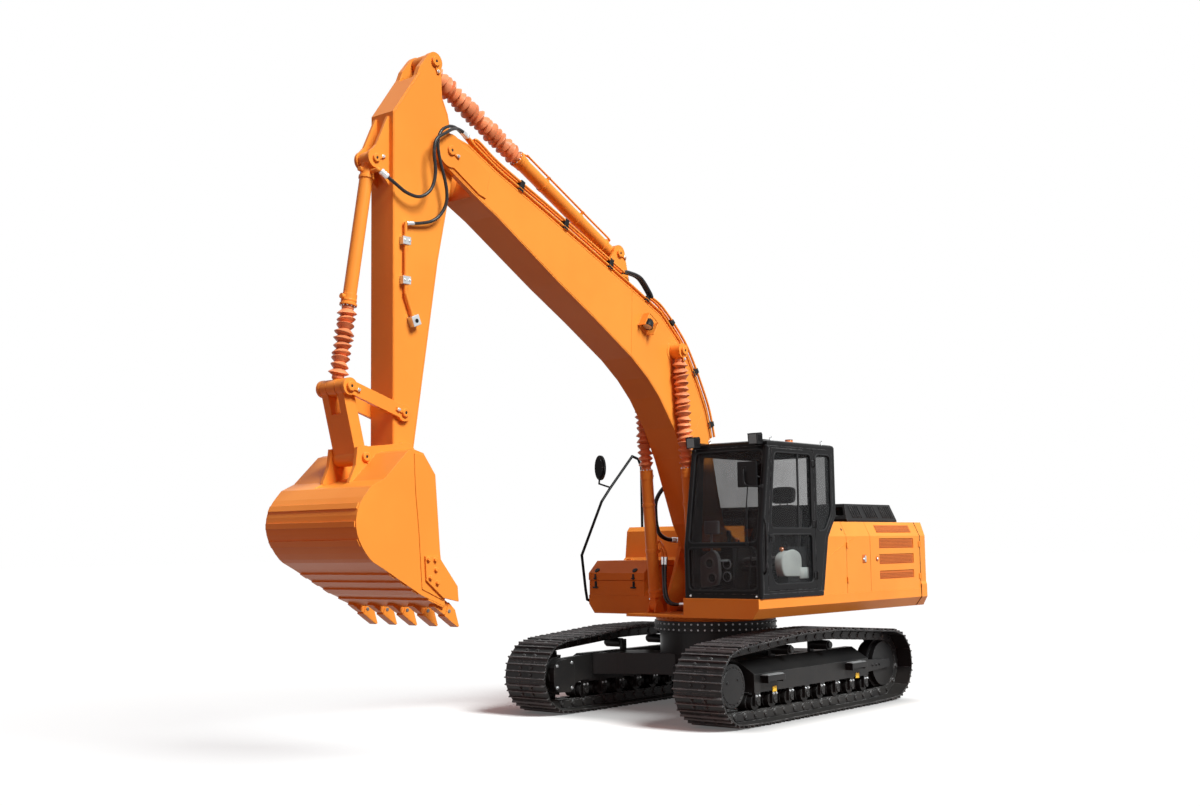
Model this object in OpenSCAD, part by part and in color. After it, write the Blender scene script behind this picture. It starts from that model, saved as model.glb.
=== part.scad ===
// Crawler excavator, about 22 t, shown with the arm reaching forward and the bucket hanging.
// Millimetres, +X forward, +Y left, +Z up; the origin lies on the ground under the swing axis.

/* [Undercarriage] */
// distance between the middles of the two tracks
gauge = 2380; // [2200:10:2600]
// width of the track shoes
shoe_w = 600; // [500:10:700]
// sprocket axle to idler axle
wheel_base = 3290; // [3200:10:3400]
// height of the sprocket and idler axles
axle_z = 430; // [425:1:440]
// radius of the chain pins around sprocket and idler
pin_r = 320; // [312:1:326]
// wished length of one chain link
link_pitch = 190; // [175:1:215]
// height of the shoe bars above the chain pins
bar_h = 96; // [90:1:100]
// bottom rollers on each side
roller_n = 8; // [6:1:9]

/* [House] */
// half width of the revolving frame
house_y = 1375; // [1340:5:1420]
// underside of the revolving frame
frame_z = 1085; // [1080:1:1100]
// floor of the cab and of the house
floor_z = 1300; // [1280:1:1320]
// top of the side panels
panel_z = 2130; // [2080:5:2200]
// rear face of the counterweight behind the swing axis
tail_x = 2900; // [2820:10:3000]
// top of the engine hood
hood_z = 2365; // [2300:5:2420]

/* [Cab] */
// inner side of the cab
cab_y0 = 395; // [390:1:420]
// outer side of the cab
cab_y1 = 1385; // [1340:5:1400]
// top of the roof
cab_top = 3010; // [2980:5:3060]
// thickness of the cab walls
wall_t = 60; // [45:1:70]

/* [Front] */
// half width of the boom
boom_h = 212; // [205:1:220]
// half width of the arm
arm_h = 150; // [140:1:155]
// half width of the bucket
bucket_h = 612; // [500:2:680]
// plate thickness of the boom
boom_t = 18; // [12:1:24]
// plate thickness of the arm
arm_t = 16; // [12:1:22]
// bucket teeth
tooth_n = 5; // [4:1:6]

/* [Hidden] */
$fn = 48;
track_y = gauge / 2;
half_base = wheel_base / 2;
rail_h = 45;
seat_h = 60;
roller_r = 80;
roller_z = bar_h + rail_h + roller_r;
roller_x = half_base - 415;
roller_reach = roller_x - 80;
carrier_z = 725;
carrier_r = 65;
beam_z0 = 325;
beam_h = 150;
beam_x = half_base - 435;
ring_z = 1012;

// pins of the front linkage, in the plane y = 0
boom_foot = [194, 1936];
boom_tip = [4516, 5674];
boomcyl_base = [770, 1185];
boomcyl_eye = [1010, 4075];
boomcyl_y = 292;
armcyl_base = [1834, 5102];
armcyl_eye = [4653, 6532];
bucket_pin = [5074, 2723];
bucketcyl_base = [5348, 5453];
rocker_pin = [5076, 3118];
common_pin = [5713, 3313];
link_pin = [5549, 2698];
tooth_tip = [4797, 1187];

// routes of the hoses in space
hose_r = 16;
hose_a = [[4268, 168, 5867], [4340, 176, 5905], [4450, 205, 5922], [4570, 238, 5895], [4675, 250, 5820],
  [4715, 250, 5690], [4680, 250, 5520], [4615, 250, 5330], [4595, 245, 5180], [4640, 230, 5050],
  [4740, 205, 4955], [4900, 190, 4905], [5043, 180, 4882]];
hose_b = [[4268, 202, 5867], [4345, 212, 5898], [4450, 240, 5900], [4550, 272, 5865], [4650, 290, 5805],
  [4770, 290, 5715], [4800, 290, 5580], [4780, 285, 5385], [4830, 275, 5225], [4945, 255, 5140],
  [5090, 235, 5150], [5220, 205, 5220], [5350, 160, 5318]];
hose_c = [[480, -240, 2640], [560, -241, 2500], [650, -275, 2380], [700, -310, 2240], [680, -320, 2100],
  [590, -310, 2000], [460, -299, 1955], [300, -296, 1940]];

orange = [0.78, 0.24, 0.10];
black = [0.07, 0.07, 0.08];
dark = [0.13, 0.13, 0.14];
steel = [0.62, 0.63, 0.65];
glass = [0.12, 0.14, 0.16, 0.6];
boot = [0.85, 0.33, 0.22];
grey = [0.45, 0.46, 0.47];

// helpers

// plate drawn in the x-z plane, between the widths y0 and y1
module slab(pts, y0, y1) {
  translate([0, y1, 0])
  rotate([90, 0, 0])
  linear_extrude(height = y1 - y0)
  polygon(pts);
}

// the same plate on both sides of the middle
module slab_pair(pts, y0, y1) {
  slab(pts, y0, y1);
  slab(pts, -y1, -y0);
}

// round bar across the machine at point p of the x-z plane
module pin(p, r, y0, y1) {
  translate([p[0], y1, p[1]])
  rotate([90, 0, 0])
  cylinder(r = r, h = y1 - y0);
}

module pin_pair(p, r, y0, y1) {
  pin(p, r, y0, y1);
  pin(p, r, -y1, -y0);
}

// box given by its two corners
module box(a, b) {
  translate(a)
  cube([b[0] - a[0], b[1] - a[1], b[2] - a[2]]);
}

function unit(v) = v / norm(v);
function left_of(v) = [-v[1], v[0]];
function at(p, d, s) = p + d * s;

// point where two lines p + s*u and q + t*v meet
function cross_of(u, v) = u[0] * v[1] - u[1] * v[0];
function meet(p, u, q, v) = p + u * (cross_of(q - p, v) / cross_of(u, v));

// closed outline moved inwards by d, outline running counter-clockwise
function inset(pts, d) = let (n = len(pts)) [for (i = [0 : n - 1])
  let (a = pts[(i + n - 1) % n], b = pts[i], c = pts[(i + 1) % n])
  let (u = unit(b - a), v = unit(c - b))
  meet(a + left_of(u) * d, u, b + left_of(v) * d, v)];

// closed outline with its corners rounded over the length r
function rounded(pts, r) = let (n = len(pts)) [for (i = [0 : n - 1])
  let (a = pts[(i + n - 1) % n], b = pts[i], c = pts[(i + 1) % n])
  let (d = min(r, 0.45 * norm(a - b), 0.45 * norm(c - b)), u = b + unit(a - b) * d, v = b + unit(c - b) * d)
  each [for (k = [0 : 4]) let (t = k / 4) (1 - t) * (1 - t) * u + 2 * t * (1 - t) * b + t * t * v]];

// bar of radius r from a to b in space
module rod(a, b, r) {
  d = b - a;
  l = norm(d);
  translate(a)
  rotate([0, acos(d[2] / l), atan2(d[1], d[0])])
  cylinder(r = r, h = l, $fn = 24);
}

// bent bar through the points of a list
module bent(pts, r) {
  for (i = [0 : len(pts) - 2]) rod(pts[i], pts[i + 1], r);
  for (i = [1 : len(pts) - 2]) translate(pts[i]) sphere(r = r * 1.06, $fn = 24);
}

// moves a shape built along +X at the origin so it runs from p towards q at width y
module along(p, q, y) {
  translate([p[0], y, p[1]])
  rotate([0, -atan2(q[1] - p[1], q[0] - p[0]), 0])
  children();
}

// round bar along +X between x0 and x1
module xbar(x0, x1, r) {
  translate([x0, 0, 0])
  rotate([0, 90, 0])
  cylinder(r = r, h = x1 - x0);
}

// folded boot along +X
module folds(x0, x1, n, r_in, r_low, r_high) {
  p = (x1 - x0) / n;
  rows = [for (i = [0 : n - 1]) each [[r_low, x0 + i * p], [r_high, x0 + (i + 0.5) * p]]];
  rotate([0, 90, 0])
  rotate_extrude()
  polygon(concat([[r_in, x0]], rows, [[r_low, x1], [r_in, x1]]));
}

// chain path around the wheels

// wheels inside the belt, counter-clockwise: middle x, middle z, radius at the chain pins
wheels = [
  [-roller_x, roller_z, roller_r + rail_h],
  [roller_x, roller_z, roller_r + rail_h],
  [half_base, axle_z, pin_r],
  [430, carrier_z, carrier_r + rail_h],
  [-390, carrier_z, carrier_r + rail_h],
  [-half_base, axle_z, pin_r]];
wheel_n = len(wheels);
function wheel(i) = wheels[(i + wheel_n) % wheel_n];
function mid(i) = [wheel(i)[0], wheel(i)[1]];
function span(i) = mid(i + 1) - mid(i);
function drop(i) = wheel(i)[2] - wheel(i + 1)[2];
// direction of the belt's outer normal on the stretch after wheel i
function normal_at(i) = atan2(span(i)[1], span(i)[0]) - acos(drop(i) / norm(span(i)));
function stretch(i) = sqrt(norm(span(i)) * norm(span(i)) - drop(i) * drop(i));
function turn(i) = let (t = normal_at(i) - normal_at(i - 1)) t - 360 * floor(t / 360);
function arc(i) = wheel(i)[2] * turn(i) * PI / 180;
function dir(t) = [cos(t), sin(t)];
seg_len = [for (i = [0 : wheel_n - 1]) each [arc(i), stretch(i)]];
function total(v, i = 0) = i < len(v) ? v[i] + total(v, i + 1) : 0;
belt = total(seg_len);
link_n = round(belt / link_pitch);
step_len = belt / link_n;
function on_seg(k, s) = let (i = floor(k / 2))
  k % 2 == 0
  ? let (t = normal_at(i - 1) + s / wheel(i)[2] * 180 / PI) mid(i) + wheel(i)[2] * dir(t)
  : mid(i) + wheel(i)[2] * dir(normal_at(i)) + left_of(dir(normal_at(i))) * s;
function on_belt(s, k = 0) = k == len(seg_len) - 1 || s < seg_len[k] ? on_seg(k, s) :
  on_belt(s - seg_len[k], k + 1);
pins = [for (i = [0 : link_n - 1]) on_belt((i + 0.5) * step_len)];
function chain_pin(i) = pins[(i + link_n) % link_n];
function side_way(i) = -left_of(unit(chain_pin(i + 1) - chain_pin(i - 1)));
// section of one shoe: along the link, above the pins
shoe = [[-88, seat_h + 6], [-84, bar_h], [-74, bar_h], [-68, 74], [-8, 74], [0, bar_h], [8, 74], [68, 74],
  [74, bar_h], [84, bar_h], [88, seat_h + 6]];
shoe_line = [for (i = [0 : link_n - 1])
  let (a = chain_pin(i), b = chain_pin(i + 1), t = unit(b - a), n = -left_of(t), k = norm(b - a) / 190)
  each [for (p = shoe) (a + b) / 2 + t * p[0] * k + n * p[1]]];
function ring_line(h) = [for (i = [0 : link_n - 1]) chain_pin(i) + side_way(i) * h];

module track(y) {
  translate([0, y + shoe_w / 2, 0])
  rotate([90, 0, 0])
  linear_extrude(height = shoe_w)
  difference() {
    polygon(shoe_line);
    polygon(ring_line(seat_h));
  }
  for (s = [-1, 1])
  translate([0, y + s * 80 + 25, 0])
  rotate([90, 0, 0])
  linear_extrude(height = 50)
  difference() {
    polygon(ring_line(seat_h + 4));
    polygon(ring_line(-rail_h));
  }
}

module track_left() {
  color(black) track(track_y);
}

module track_right() {
  color(black) track(-track_y);
}

// undercarriage

beam = [[-beam_h, beam_z0], [beam_h, beam_z0], [beam_h, 520], [-60, 650], [-beam_h, 650]];

module track_frame(s) {
  mirror([0, s < 0 ? 1 : 0, 0])
  translate([0, track_y, 0]) {
    difference() {
      translate([-beam_x, 0, 0])
      rotate([90, 0, 90])
      linear_extrude(height = 2 * beam_x)
      polygon(beam);
      translate([-beam_x + 20, 0, 0])
      rotate([90, 0, 90])
      linear_extrude(height = 2 * beam_x - 40)
      polygon(inset(beam, 22));
    }
    // motor carrier at the sprocket end
    difference() {
      union() {
        slab([[beam_x - 110, 350], [beam_x + 80, 350], [half_base, axle_z - 190], [half_base, axle_z + 190],
          [beam_x - 110, 640]], -190, -130);
        pin([half_base, axle_z], 190, -190, -130);
        slab(rounded([[half_base - 170, axle_z - 195], [half_base + 185, axle_z - 170],
          [half_base + 185, axle_z + 170], [half_base - 170, axle_z + 195]], 120), -262, -189);
      }
      slab([[beam_x + 1, 380], [beam_x + 120, 380], [beam_x + 120, 560], [beam_x + 1, 600]], -129, -125);
    }
    // fork around the idler
    slab_pair([[-half_base - 90, 385], [5 - beam_x, 360], [5 - beam_x, 500], [-half_base - 90, 475]],
      122, beam_h);
    // steps on the outside
    for (x = [half_base - 715, 805 - half_base]) {
      box([x - 170, beam_h - 1, 488], [x + 170, beam_h + 105, 500]);
      box([x - 170, beam_h + 93, 440], [x + 170, beam_h + 105, 489]);
      slab([[x - 150, 500], [x - 150, 420], [x - 138, 420], [x - 138, 500]], beam_h - 1, beam_h + 94);
      slab([[x + 138, 500], [x + 138, 420], [x + 150, 420], [x + 150, 500]], beam_h - 1, beam_h + 94);
    }
  }
}

module track_frames() {
  color(black) track_frame(1);
  color(black) track_frame(-1);
}

module sprocket(y) {
  translate([half_base, y, axle_z])
  rotate([90, 0, 0]) {
    translate([0, 0, -30])
    linear_extrude(height = 60)
    polygon([for (i = [0 : 41]) (i % 2 == 0 ? 236 : 292) * dir(i * 360 / 42 + 4)]);
  }
  s = y > 0 ? 1 : -1;
  pin([half_base, axle_z], 205, s > 0 ? y - 130 : y - 100, s > 0 ? y + 100 : y + 130);
  pin([half_base, axle_z], 230, s > 0 ? y + 99 : y - 165, s > 0 ? y + 165 : y - 99);
}

module sprockets() {
  color(black) sprocket(track_y);
  color(black) sprocket(-track_y);
}

// the chain runs over the idler in straight links, so the tread lies under their middles
tread_r = (pin_r - rail_h) * cos(asin(step_len / 2 / pin_r)) - 2;

module idler(y) {
  p = [-half_base, axle_z];
  pin(p, tread_r, y - 112, y + 112);
  pin(p, pin_r - 22, y - 48, y + 48);
  pin(p, 60, y - 122, y + 122);
}

module idlers() {
  color(black) idler(track_y);
  color(black) idler(-track_y);
}

module bottom_roller(x, y) {
  p = [x, roller_z];
  pin(p, roller_r - 1, y - 112, y + 112);
  pin(p, roller_r + 14, y - 48, y + 48);
  for (s = [-1, 1]) {
    box([x - 46, y + s * 131 - 20, roller_z - 34], [x + 46, y + s * 131 + 20, beam_z0]);
  }
}

module bottom_rollers() {
  color(black)
  for (y = [-track_y, track_y])
  for (i = [0 : roller_n - 1])
  bottom_roller(-roller_reach + 2 * roller_reach * i / (roller_n - 1), y);
}

module carrier_roller(x, s) {
  p = [x, carrier_z];
  mirror([0, s < 0 ? 1 : 0, 0]) {
    pin(p, carrier_r - 11, track_y - 112, track_y + 112);
    pin(p, 30, track_y - 150, track_y + 125);
    box([x - 42, track_y - 150, 650], [x + 42, track_y - 113, carrier_z + 42]);
  }
}

module carrier_rollers() {
  color(black)
  for (s = [-1, 1])
  for (x = [430, -390])
  carrier_roller(x, s);
}

turret_r = 715;
leg_x = beam_x - 230;
tow_x = 700;
tow_z = 470;
tow_t = 40;
tow_r = 35;
tow_plan = [[580, -130], [700, -110], [770, -60], [770, 60], [700, 110], [580, 130]];
// plan of one leg, from its front edge at the turret round to its rear edge
function leg_plan(k) = concat([[0, 0]], smooth([[600, 60], [690, 320], [770, 560], [870, 800],
  [leg_x + 40, k]], 3),
  smooth([[420, k], [330, 860], [270, 700], [250, 580], [230, 480]], 3));
module leg(sx, sy) {
  translate([0, 0, 400])
  mirror([sx < 0 ? 1 : 0, 0, 0])
  mirror([0, sy < 0 ? 1 : 0, 0])
  linear_extrude(height = 240)
  polygon(leg_plan(track_y - beam_h));
}

module car_body() {
  color(black)
  difference() {
    union() {
      for (sx = [-1, 1]) for (sy = [-1, 1]) leg(sx, sy);
      translate([0, 0, 390]) cylinder(r = 640, h = 300);
      translate([0, 0, 640]) cylinder(r = turret_r - 62, h = 262);
      translate([0, 0, 895]) cylinder(r = turret_r, h = 45);
      // towing plates
      for (a = [0, 180])
      rotate([0, 0, a])
      translate([0, 0, tow_z])
      linear_extrude(height = tow_t)
      polygon(tow_plan);
    }
    translate([0, 0, 430]) cylinder(r = 560, h = 480);
    translate([0, 0, 900]) cylinder(r = 430, h = 60);
    for (s = [-1, 1]) translate([s * tow_x, 0, tow_z - 10]) cylinder(r = tow_r, h = tow_t + 20);
  }
}

module slew_ring() {
  color(dark)
  difference() {
    translate([0, 0, 940]) cylinder(r = turret_r, h = ring_z - 940);
    translate([0, 0, 930]) cylinder(r = 560, h = ring_z);
  }
}

// house

skirt = [[1180, frame_z], [house_y - 85, frame_z], [house_y, frame_z + 110], [house_y, floor_z],
  [1180, floor_z]];

module skirt_bar(x0, x1) {
  difference() {
    translate([x0, 0, 0]) rotate([90, 0, 90]) linear_extrude(height = x1 - x0) polygon(skirt);
    translate([x0 + 12, 0, 0]) rotate([90, 0, 90]) linear_extrude(height = x1 - x0 - 24)
      polygon(inset(skirt, 12));
  }
}

front_x = 1140;
box_x = 680;
side_x0 = 330 - tail_x;
rear_x = side_x0 + 180;
boom_plate = [[-1000, frame_z + 29], [580, frame_z + 29], [580, 1320], [330, 1860], [310, 2010], [60, 2030],
  [-300, 1780], [-1000, 1420]];

module revolving_frame() {
  color(orange)
  difference() {
    union() {
      box([rear_x, -1181, frame_z], [box_x, 1181, frame_z + 30]);
      box([box_x - 1, -430, frame_z], [front_x, 1181, frame_z + 30]);
      skirt_bar(side_x0, front_x);
      mirror([0, 1, 0]) skirt_bar(side_x0, box_x);
      // decks left and right of the middle
      box([rear_x, 380, floor_z - 12], [front_x, 1181, floor_z]);
      box([rear_x, -1181, floor_z - 12], [box_x, -380, floor_z]);
      box([rear_x, 380, frame_z + 29], [front_x, 400, floor_z - 11]);
      box([rear_x, -400, frame_z + 29], [box_x, -380, floor_z - 11]);
      box([front_x - 20, 399, frame_z + 29], [front_x, 1181, floor_z - 11]);
      box([box_x - 20, -1181, frame_z + 29], [box_x, -399, floor_z - 11]);
      box([rear_x, -381, floor_z - 12], [-620, 381, floor_z]);
      // boom foot plates
      slab_pair(boom_plate, 232, 270);
      pin_pair(boom_foot, 150, 232, 270);
      pin(boom_foot, 49, -290, 290);
      // boom cylinder clevises
      for (y = [boomcyl_y - 58, boomcyl_y + 40]) {
        slab_pair([[680, frame_z + 29], [860, frame_z + 29], [836, 1190], [704, 1190]], y, y + 18);
        pin_pair(boomcyl_base, 66, y, y + 18);
      }
      pin_pair(boomcyl_base, 38, boomcyl_y - 56, boomcyl_y + 58);
      // upper half of the swing bearing
      translate([0, 0, ring_z + 0.3]) cylinder(r = turret_r - 15, h = frame_z - ring_z + 0.7);
    }
    translate([0, 0, ring_z]) cylinder(r = 500, h = 120);
  }
}

// counterweight: plan, and half of the section with the swelling above the skirt
chamf_z = 1960;
cw_y = house_y + 10;
cw_plan = [[side_x0 - 0.3, -cw_y], [side_x0 - 0.3, cw_y], [-tail_x + 190, cw_y], [-tail_x + 40, 1130],
  [-tail_x, 900], [-tail_x, -900], [-tail_x + 40, -1130], [-tail_x + 190, -cw_y]];
cw_half = [[cw_y - 85, frame_z], [cw_y, frame_z + 110], [cw_y, 1350], [house_y - 5, 1385],
  [house_y - 5, chamf_z], [house_y - 85, panel_z + 1]];
cw_n = len(cw_half);
cw_sec = concat(cw_half, [for (i = [1 : cw_n]) [-cw_half[cw_n - i][0], cw_half[cw_n - i][1]]]);
module counterweight() {
  color(orange)
  difference() {
    intersection() {
      translate([0, 0, frame_z]) linear_extrude(height = panel_z - frame_z) polygon(cw_plan);
      translate([-tail_x - 10, 0, 0]) rotate([90, 0, 90]) linear_extrude(height = tail_x) polygon(cw_sec);
    }
    slab([[-tail_x - 50, frame_z - 5], [-tail_x + 130, frame_z - 5], [-tail_x - 50, 1230]], -1500, 1500);
    slab([[-tail_x - 50, 2080], [-tail_x + 40, panel_z + 10], [-tail_x - 50, panel_z + 10]], -1500, 1500);
    box([side_x0 - 180, -900, 1300], [side_x0 + 10, 900, 2000]);
  }
}

module engine() {
  color(dark) box([side_x0 + 230, -480, floor_z], [-1350, 480, panel_z - 150]);
}

// side panel section: straight with an inward chamfer at the top
panel_t = 40;
function panel_sec(z0) = [[house_y - panel_t - 5, z0], [house_y - 5, z0], [house_y - 5, chamf_z],
  [house_y - 85, panel_z], [house_y - 85 - panel_t, panel_z], [house_y - 5 - panel_t, chamf_z - 8]];

module panel_run(x0, x1) {
  translate([x0, 0, 0]) rotate([90, 0, 90]) linear_extrude(height = x1 - x0) polygon(panel_sec(floor_z));
}

door1_x = -1300;
fixed_x = -738;
module house_panels() {
  color(orange) {
    // fixed panel with the slanted front edge behind the cab
    difference() {
      panel_run(fixed_x + 3, -150);
      slab([[-190, floor_z - 10], [-100, floor_z - 10], [-100, panel_z + 10], [-636, panel_z + 10],
        [-324, 1957]],
        900, 1500);
    }
    // top deck between the panels
    box([side_x0, -1240, panel_z - 40], [-1296, -hood_y, panel_z]);
    box([side_x0, hood_y, panel_z - 40], [-760, 1240, panel_z]);
    box([-1296, 980, panel_z - 40], [-760, hood_y + 1, panel_z]);
    // cross walls that carry the deck
    box([-790, 360, floor_z], [-760, 1240, panel_z - 40]);
    box([side_x0, -1240, floor_z], [side_x0 + 30, -490, panel_z - 40]);
    box([side_x0, 490, floor_z], [side_x0 + 30, 1240, panel_z - 40]);
  }
}

// upright hinge barrels of a side door, s is the way from the hinge line to the fixed side
knuckle_y = house_y + 4;
module knuckles(x, s) {
  for (z = [1420, 1820]) {
    translate([x, knuckle_y, z]) cylinder(r = 8, h = 70);
    box([min(x - s * 40, x), house_y - 6, z], [max(x - s * 40, x), knuckle_y, z + 70]);
  }
}

module left_front_door() {
  color(orange) {
    panel_run(door1_x + 3, fixed_x - 3);
    knuckles(fixed_x, 1);
  }
}

module left_rear_door() {
  color(orange)
  difference() {
    union() {
      panel_run(side_x0 + 3, door1_x - 3);
      knuckles(side_x0, -1);
    }
    for (z = [[1810, 120], [1620, 120], [1440, 100]])
      box([side_x0 + 170, house_y - 15, z[0]], [-1520, house_y, z[0] + z[1]]);
  }
}

module right_door() {
  color(orange)
  mirror([0, 1, 0]) {
    panel_run(side_x0 + 3, door1_x - 3);
    knuckles(side_x0, -1);
  }
}

hood_y = 1070;
hood_sec = [[-hood_y, panel_z - 40], [hood_y, panel_z - 40], [hood_y, panel_z + 30], [hood_y - 100, hood_z],
  [100 - hood_y, hood_z], [-hood_y, panel_z + 30]];
hood_x0 = side_x0 + 10;
hood_x1 = -1302;
vent_step = (hood_x1 - hood_x0) * 60 / 1168;
module engine_hood() {
  color(black) {
    difference() {
      translate([hood_x0, 0, 0])
      rotate([90, 0, 90])
      linear_extrude(height = hood_x1 - hood_x0)
      polygon(inset(hood_sec, 5));
      translate([hood_x0 + 25, 0, -25])
      rotate([90, 0, 90])
      linear_extrude(height = hood_x1 - hood_x0 - 50)
      polygon(inset(hood_sec, 20));
      slab([[hood_x1 + 1, panel_z + 40], [hood_x1 + 200, panel_z], [hood_x1 + 200, hood_z + 60],
        [hood_x1 - 150, hood_z + 60]], -1100, 1100);
      for (i = [0 : 7])
      translate([hood_x0 + 90 + i * vent_step, -600, hood_z - 60])
      cube([vent_step / 2, 1200, 80]);
    }
    // hinge barrels above the counterweight
    pin_pair([hood_x0, panel_z + 16], 14, 560, 700);
  }
}

tank_z = 2115;
module tanks() {
  color(orange)
  difference() {
    slab([[-1290, floor_z], [80, floor_z], [80, 1660], [-20, 1740], [-60, 2060], [-110, tank_z],
      [-1290, tank_z]],
      -house_y + 10, -420);
    slab([[-1270, floor_z + 20], [60, floor_z + 20], [60, 1650], [-40, 1730], [-80, 2050],
      [-120, tank_z - 20], [-1270, tank_z - 20]], -house_y + 30, -440);
  }
  color(steel)
  translate([-420, -600, tank_z]) cylinder(r = 55, h = 170);
}

box_in = -525;
lid_z = 1708;
module toolbox() {
  color(orange)
  difference() {
    slab([[86, floor_z], [box_x, floor_z], [box_x, 1472], [478, 1640], [86, 1640]], -house_y + 10, box_in);
    slab([[106, floor_z + 20], [box_x - 20, floor_z + 20], [box_x - 20, 1464], [470, 1700], [106, 1700]],
      -house_y + 30, box_in - 20);
  }
}

module toolbox_lid() {
  color(orange) {
    difference() {
      slab([[86, 1646], [481, 1646], [box_x + 6, 1478], [box_x + 6, 1562], [520, lid_z], [86, lid_z]],
        -house_y + 4, box_in + 6);
      slab([[106, 1640], [473, 1640], [box_x - 14, 1470], [box_x - 14, 1552], [512, lid_z - 18],
        [106, lid_z - 18]],
        -house_y + 24, box_in - 14);
    }
    for (y = [-1250, -700]) pin([86, lid_z + 8], 12, y, y + 70);
  }
}

rail_y = -house_y - 25;
rail_r = 17;
function oval(a, b) = [for (i = [0 : 31]) [a * cos(i * 11.25), b * sin(i * 11.25)]];
module handrail() {
  color(black) {
    bent([[600, rail_y, 1215], [685, rail_y, 1245], [713, rail_y, 1364], [776, rail_y, 1779],
      [388, rail_y, 2432], [211, rail_y, 2609], [-233, rail_y, 3017], [-330, rail_y + 20, 2985],
      [-345, rail_y + 55, 2880], [-345, rail_y + 55, tank_z]], rail_r);
    rod([600, rail_y, 1215], [600, -house_y, 1215], rail_r);
    translate([600, rail_y, 1215]) sphere(r = rail_r * 1.06, $fn = 24);
    bent([[211, rail_y, 2609], [408, rail_y - 20, 2652], [392, rail_y - 20, 2760]], 11);
    // oval mirror
    translate([364, rail_y - 20, 2850]) rotate([90, 0, 90]) linear_extrude(height = 32)
      polygon(oval(80, 155));
    translate([395, rail_y - 20, 2850]) rotate([90, 0, 90]) linear_extrude(height = 18)
      polygon(oval(58, 125));
  }
}

// cab

// front and rear lines of the side view
front_low = [1100, floor_z];
front_knee = [1105, 1870];
front_top = [925, cab_top - 60];
rear_top = [-490, cab_top - 60];
rear_knee = [-490, 2200];
rear_mid = [-310, 1950];
rear_low = [-180, floor_z];
roof_z = cab_top - 60;
base_z = floor_z + 50;
t = [wall_t, 0];
function mixz(p, q, z) = p + (q - p) * ((z - p[1]) / (q[1] - p[1]));
side_wall = [mixz(front_low, front_knee, base_z) - t, front_knee - t, front_top - t, rear_top + t,
  rear_knee + t,
  rear_mid + t, mixz(rear_mid, rear_low, base_z) + t];
door_line = [[950, 1385], [955, 1870], [822, roof_z - 25], [-28, roof_z - 25], [-28, 1385]];
win_r = 70;
win_door_up = rounded([[888, 2050], [788, roof_z - 62], [24, roof_z - 62], [24, 2050]], win_r);
win_door_low = rounded([[820, 1445], [898, 1560], [898, 1880], [884, 1990], [24, 1990], [24, 1445]], win_r);
win_rear = rounded([[-72, 2020], [-72, roof_z - 55], [-398, roof_z - 55], [-398, 2215], [-250, 2020]],
  win_r);
win_right = rounded([[875, 1800], [795, roof_z - 70], [-390, roof_z - 70], [-390, 2240], [-190, 1950],
  [-190, 1800]],
  win_r);
// front windows, seen from the front: width and height
win_front_up = rounded([[cab_y0 + 38, 1898], [cab_y1 - 44, 1898], [cab_y1 - 44, roof_z - 38],
  [cab_y0 + 38, roof_z - 38]], win_r);
win_front_low = rounded([[cab_y0 + 38, 1385], [cab_y1 - 44, 1385], [cab_y1 - 44, 1858],
  [cab_y0 + 38, 1858]], win_r);

// prism through the front of the cab
module through_front(pts) {
  translate([800, 0, 0])
  rotate([90, 0, 90])
  linear_extrude(height = 400)
  polygon(pts);
}

module cab_base() {
  color(black)
  box([rear_low[0], cab_y0, floor_z], [front_low[0], cab_y1, base_z]);
}

module front_strip(y0, y1) {
  slab([mixz(front_low, front_knee, base_z), front_knee, front_top, front_top - t, front_knee - t,
    mixz(front_low, front_knee, base_z) - t], y0, y1);
}

module cab_front() {
  color(black)
  difference() {
    front_strip(cab_y0, cab_y1);
    through_front(win_front_up);
    through_front(win_front_low);
  }
}

module cab_left() {
  color(black)
  difference() {
    slab(side_wall, cab_y1 - wall_t, cab_y1);
    slab(inset(door_line, -6), cab_y1 - wall_t - 5, cab_y1 + 5);
    slab(win_rear, cab_y1 - wall_t - 5, cab_y1 + 5);
  }
}

module cab_right() {
  color(black)
  difference() {
    slab(side_wall, cab_y0, cab_y0 + wall_t);
    slab(win_right, cab_y0 - 5, cab_y0 + wall_t + 5);
  }
}

module cab_rear() {
  color(black)
  difference() {
    slab([rear_top, rear_knee, rear_mid, mixz(rear_mid, rear_low, base_z),
      mixz(rear_mid, rear_low, base_z) + t,
      rear_mid + t, rear_knee + t, rear_top + t], cab_y0, cab_y1);
    box([-600, cab_y0 + 90, 2290], [-300, cab_y1 - 90, roof_z - 70]);
  }
}

roof_sec = [[cab_y0, roof_z], [cab_y1, roof_z], [cab_y1, cab_top - 30], [cab_y1 - 8, cab_top - 10],
  [cab_y1 - 28, cab_top], [cab_y0 + 28, cab_top], [cab_y0 + 8, cab_top - 10], [cab_y0, cab_top - 30]];
module cab_roof() {
  color(black)
  intersection() {
    slab([front_top, [front_top[0] - 4, cab_top - 35], [front_top[0] - 16, cab_top - 12],
      [front_top[0] - 45, cab_top], [rear_top[0] + 45, cab_top], [rear_top[0] + 14, cab_top - 12],
      [rear_top[0], cab_top - 38], rear_top],
      cab_y0, cab_y1);
    translate([-600, 0, 0]) rotate([90, 0, 90]) linear_extrude(height = 1700) polygon(roof_sec);
  }
}

module cab_glass() {
  color(glass) {
    for (win = [win_front_up, win_front_low])
    intersection() {
      translate([-18, 0, 0]) difference() {
        front_strip(cab_y0 + 20, cab_y1 - 20);
        translate([-8, 0, 0]) front_strip(cab_y0, cab_y1);
      }
      through_front(win);
    }
    slab(win_rear, cab_y1 - 22, cab_y1 - 14);
    slab(win_right, cab_y0 + 14, cab_y0 + 22);
    box([-476, cab_y0 + 90, 2290], [-468, cab_y1 - 90, roof_z - 70]);
  }
}

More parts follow.
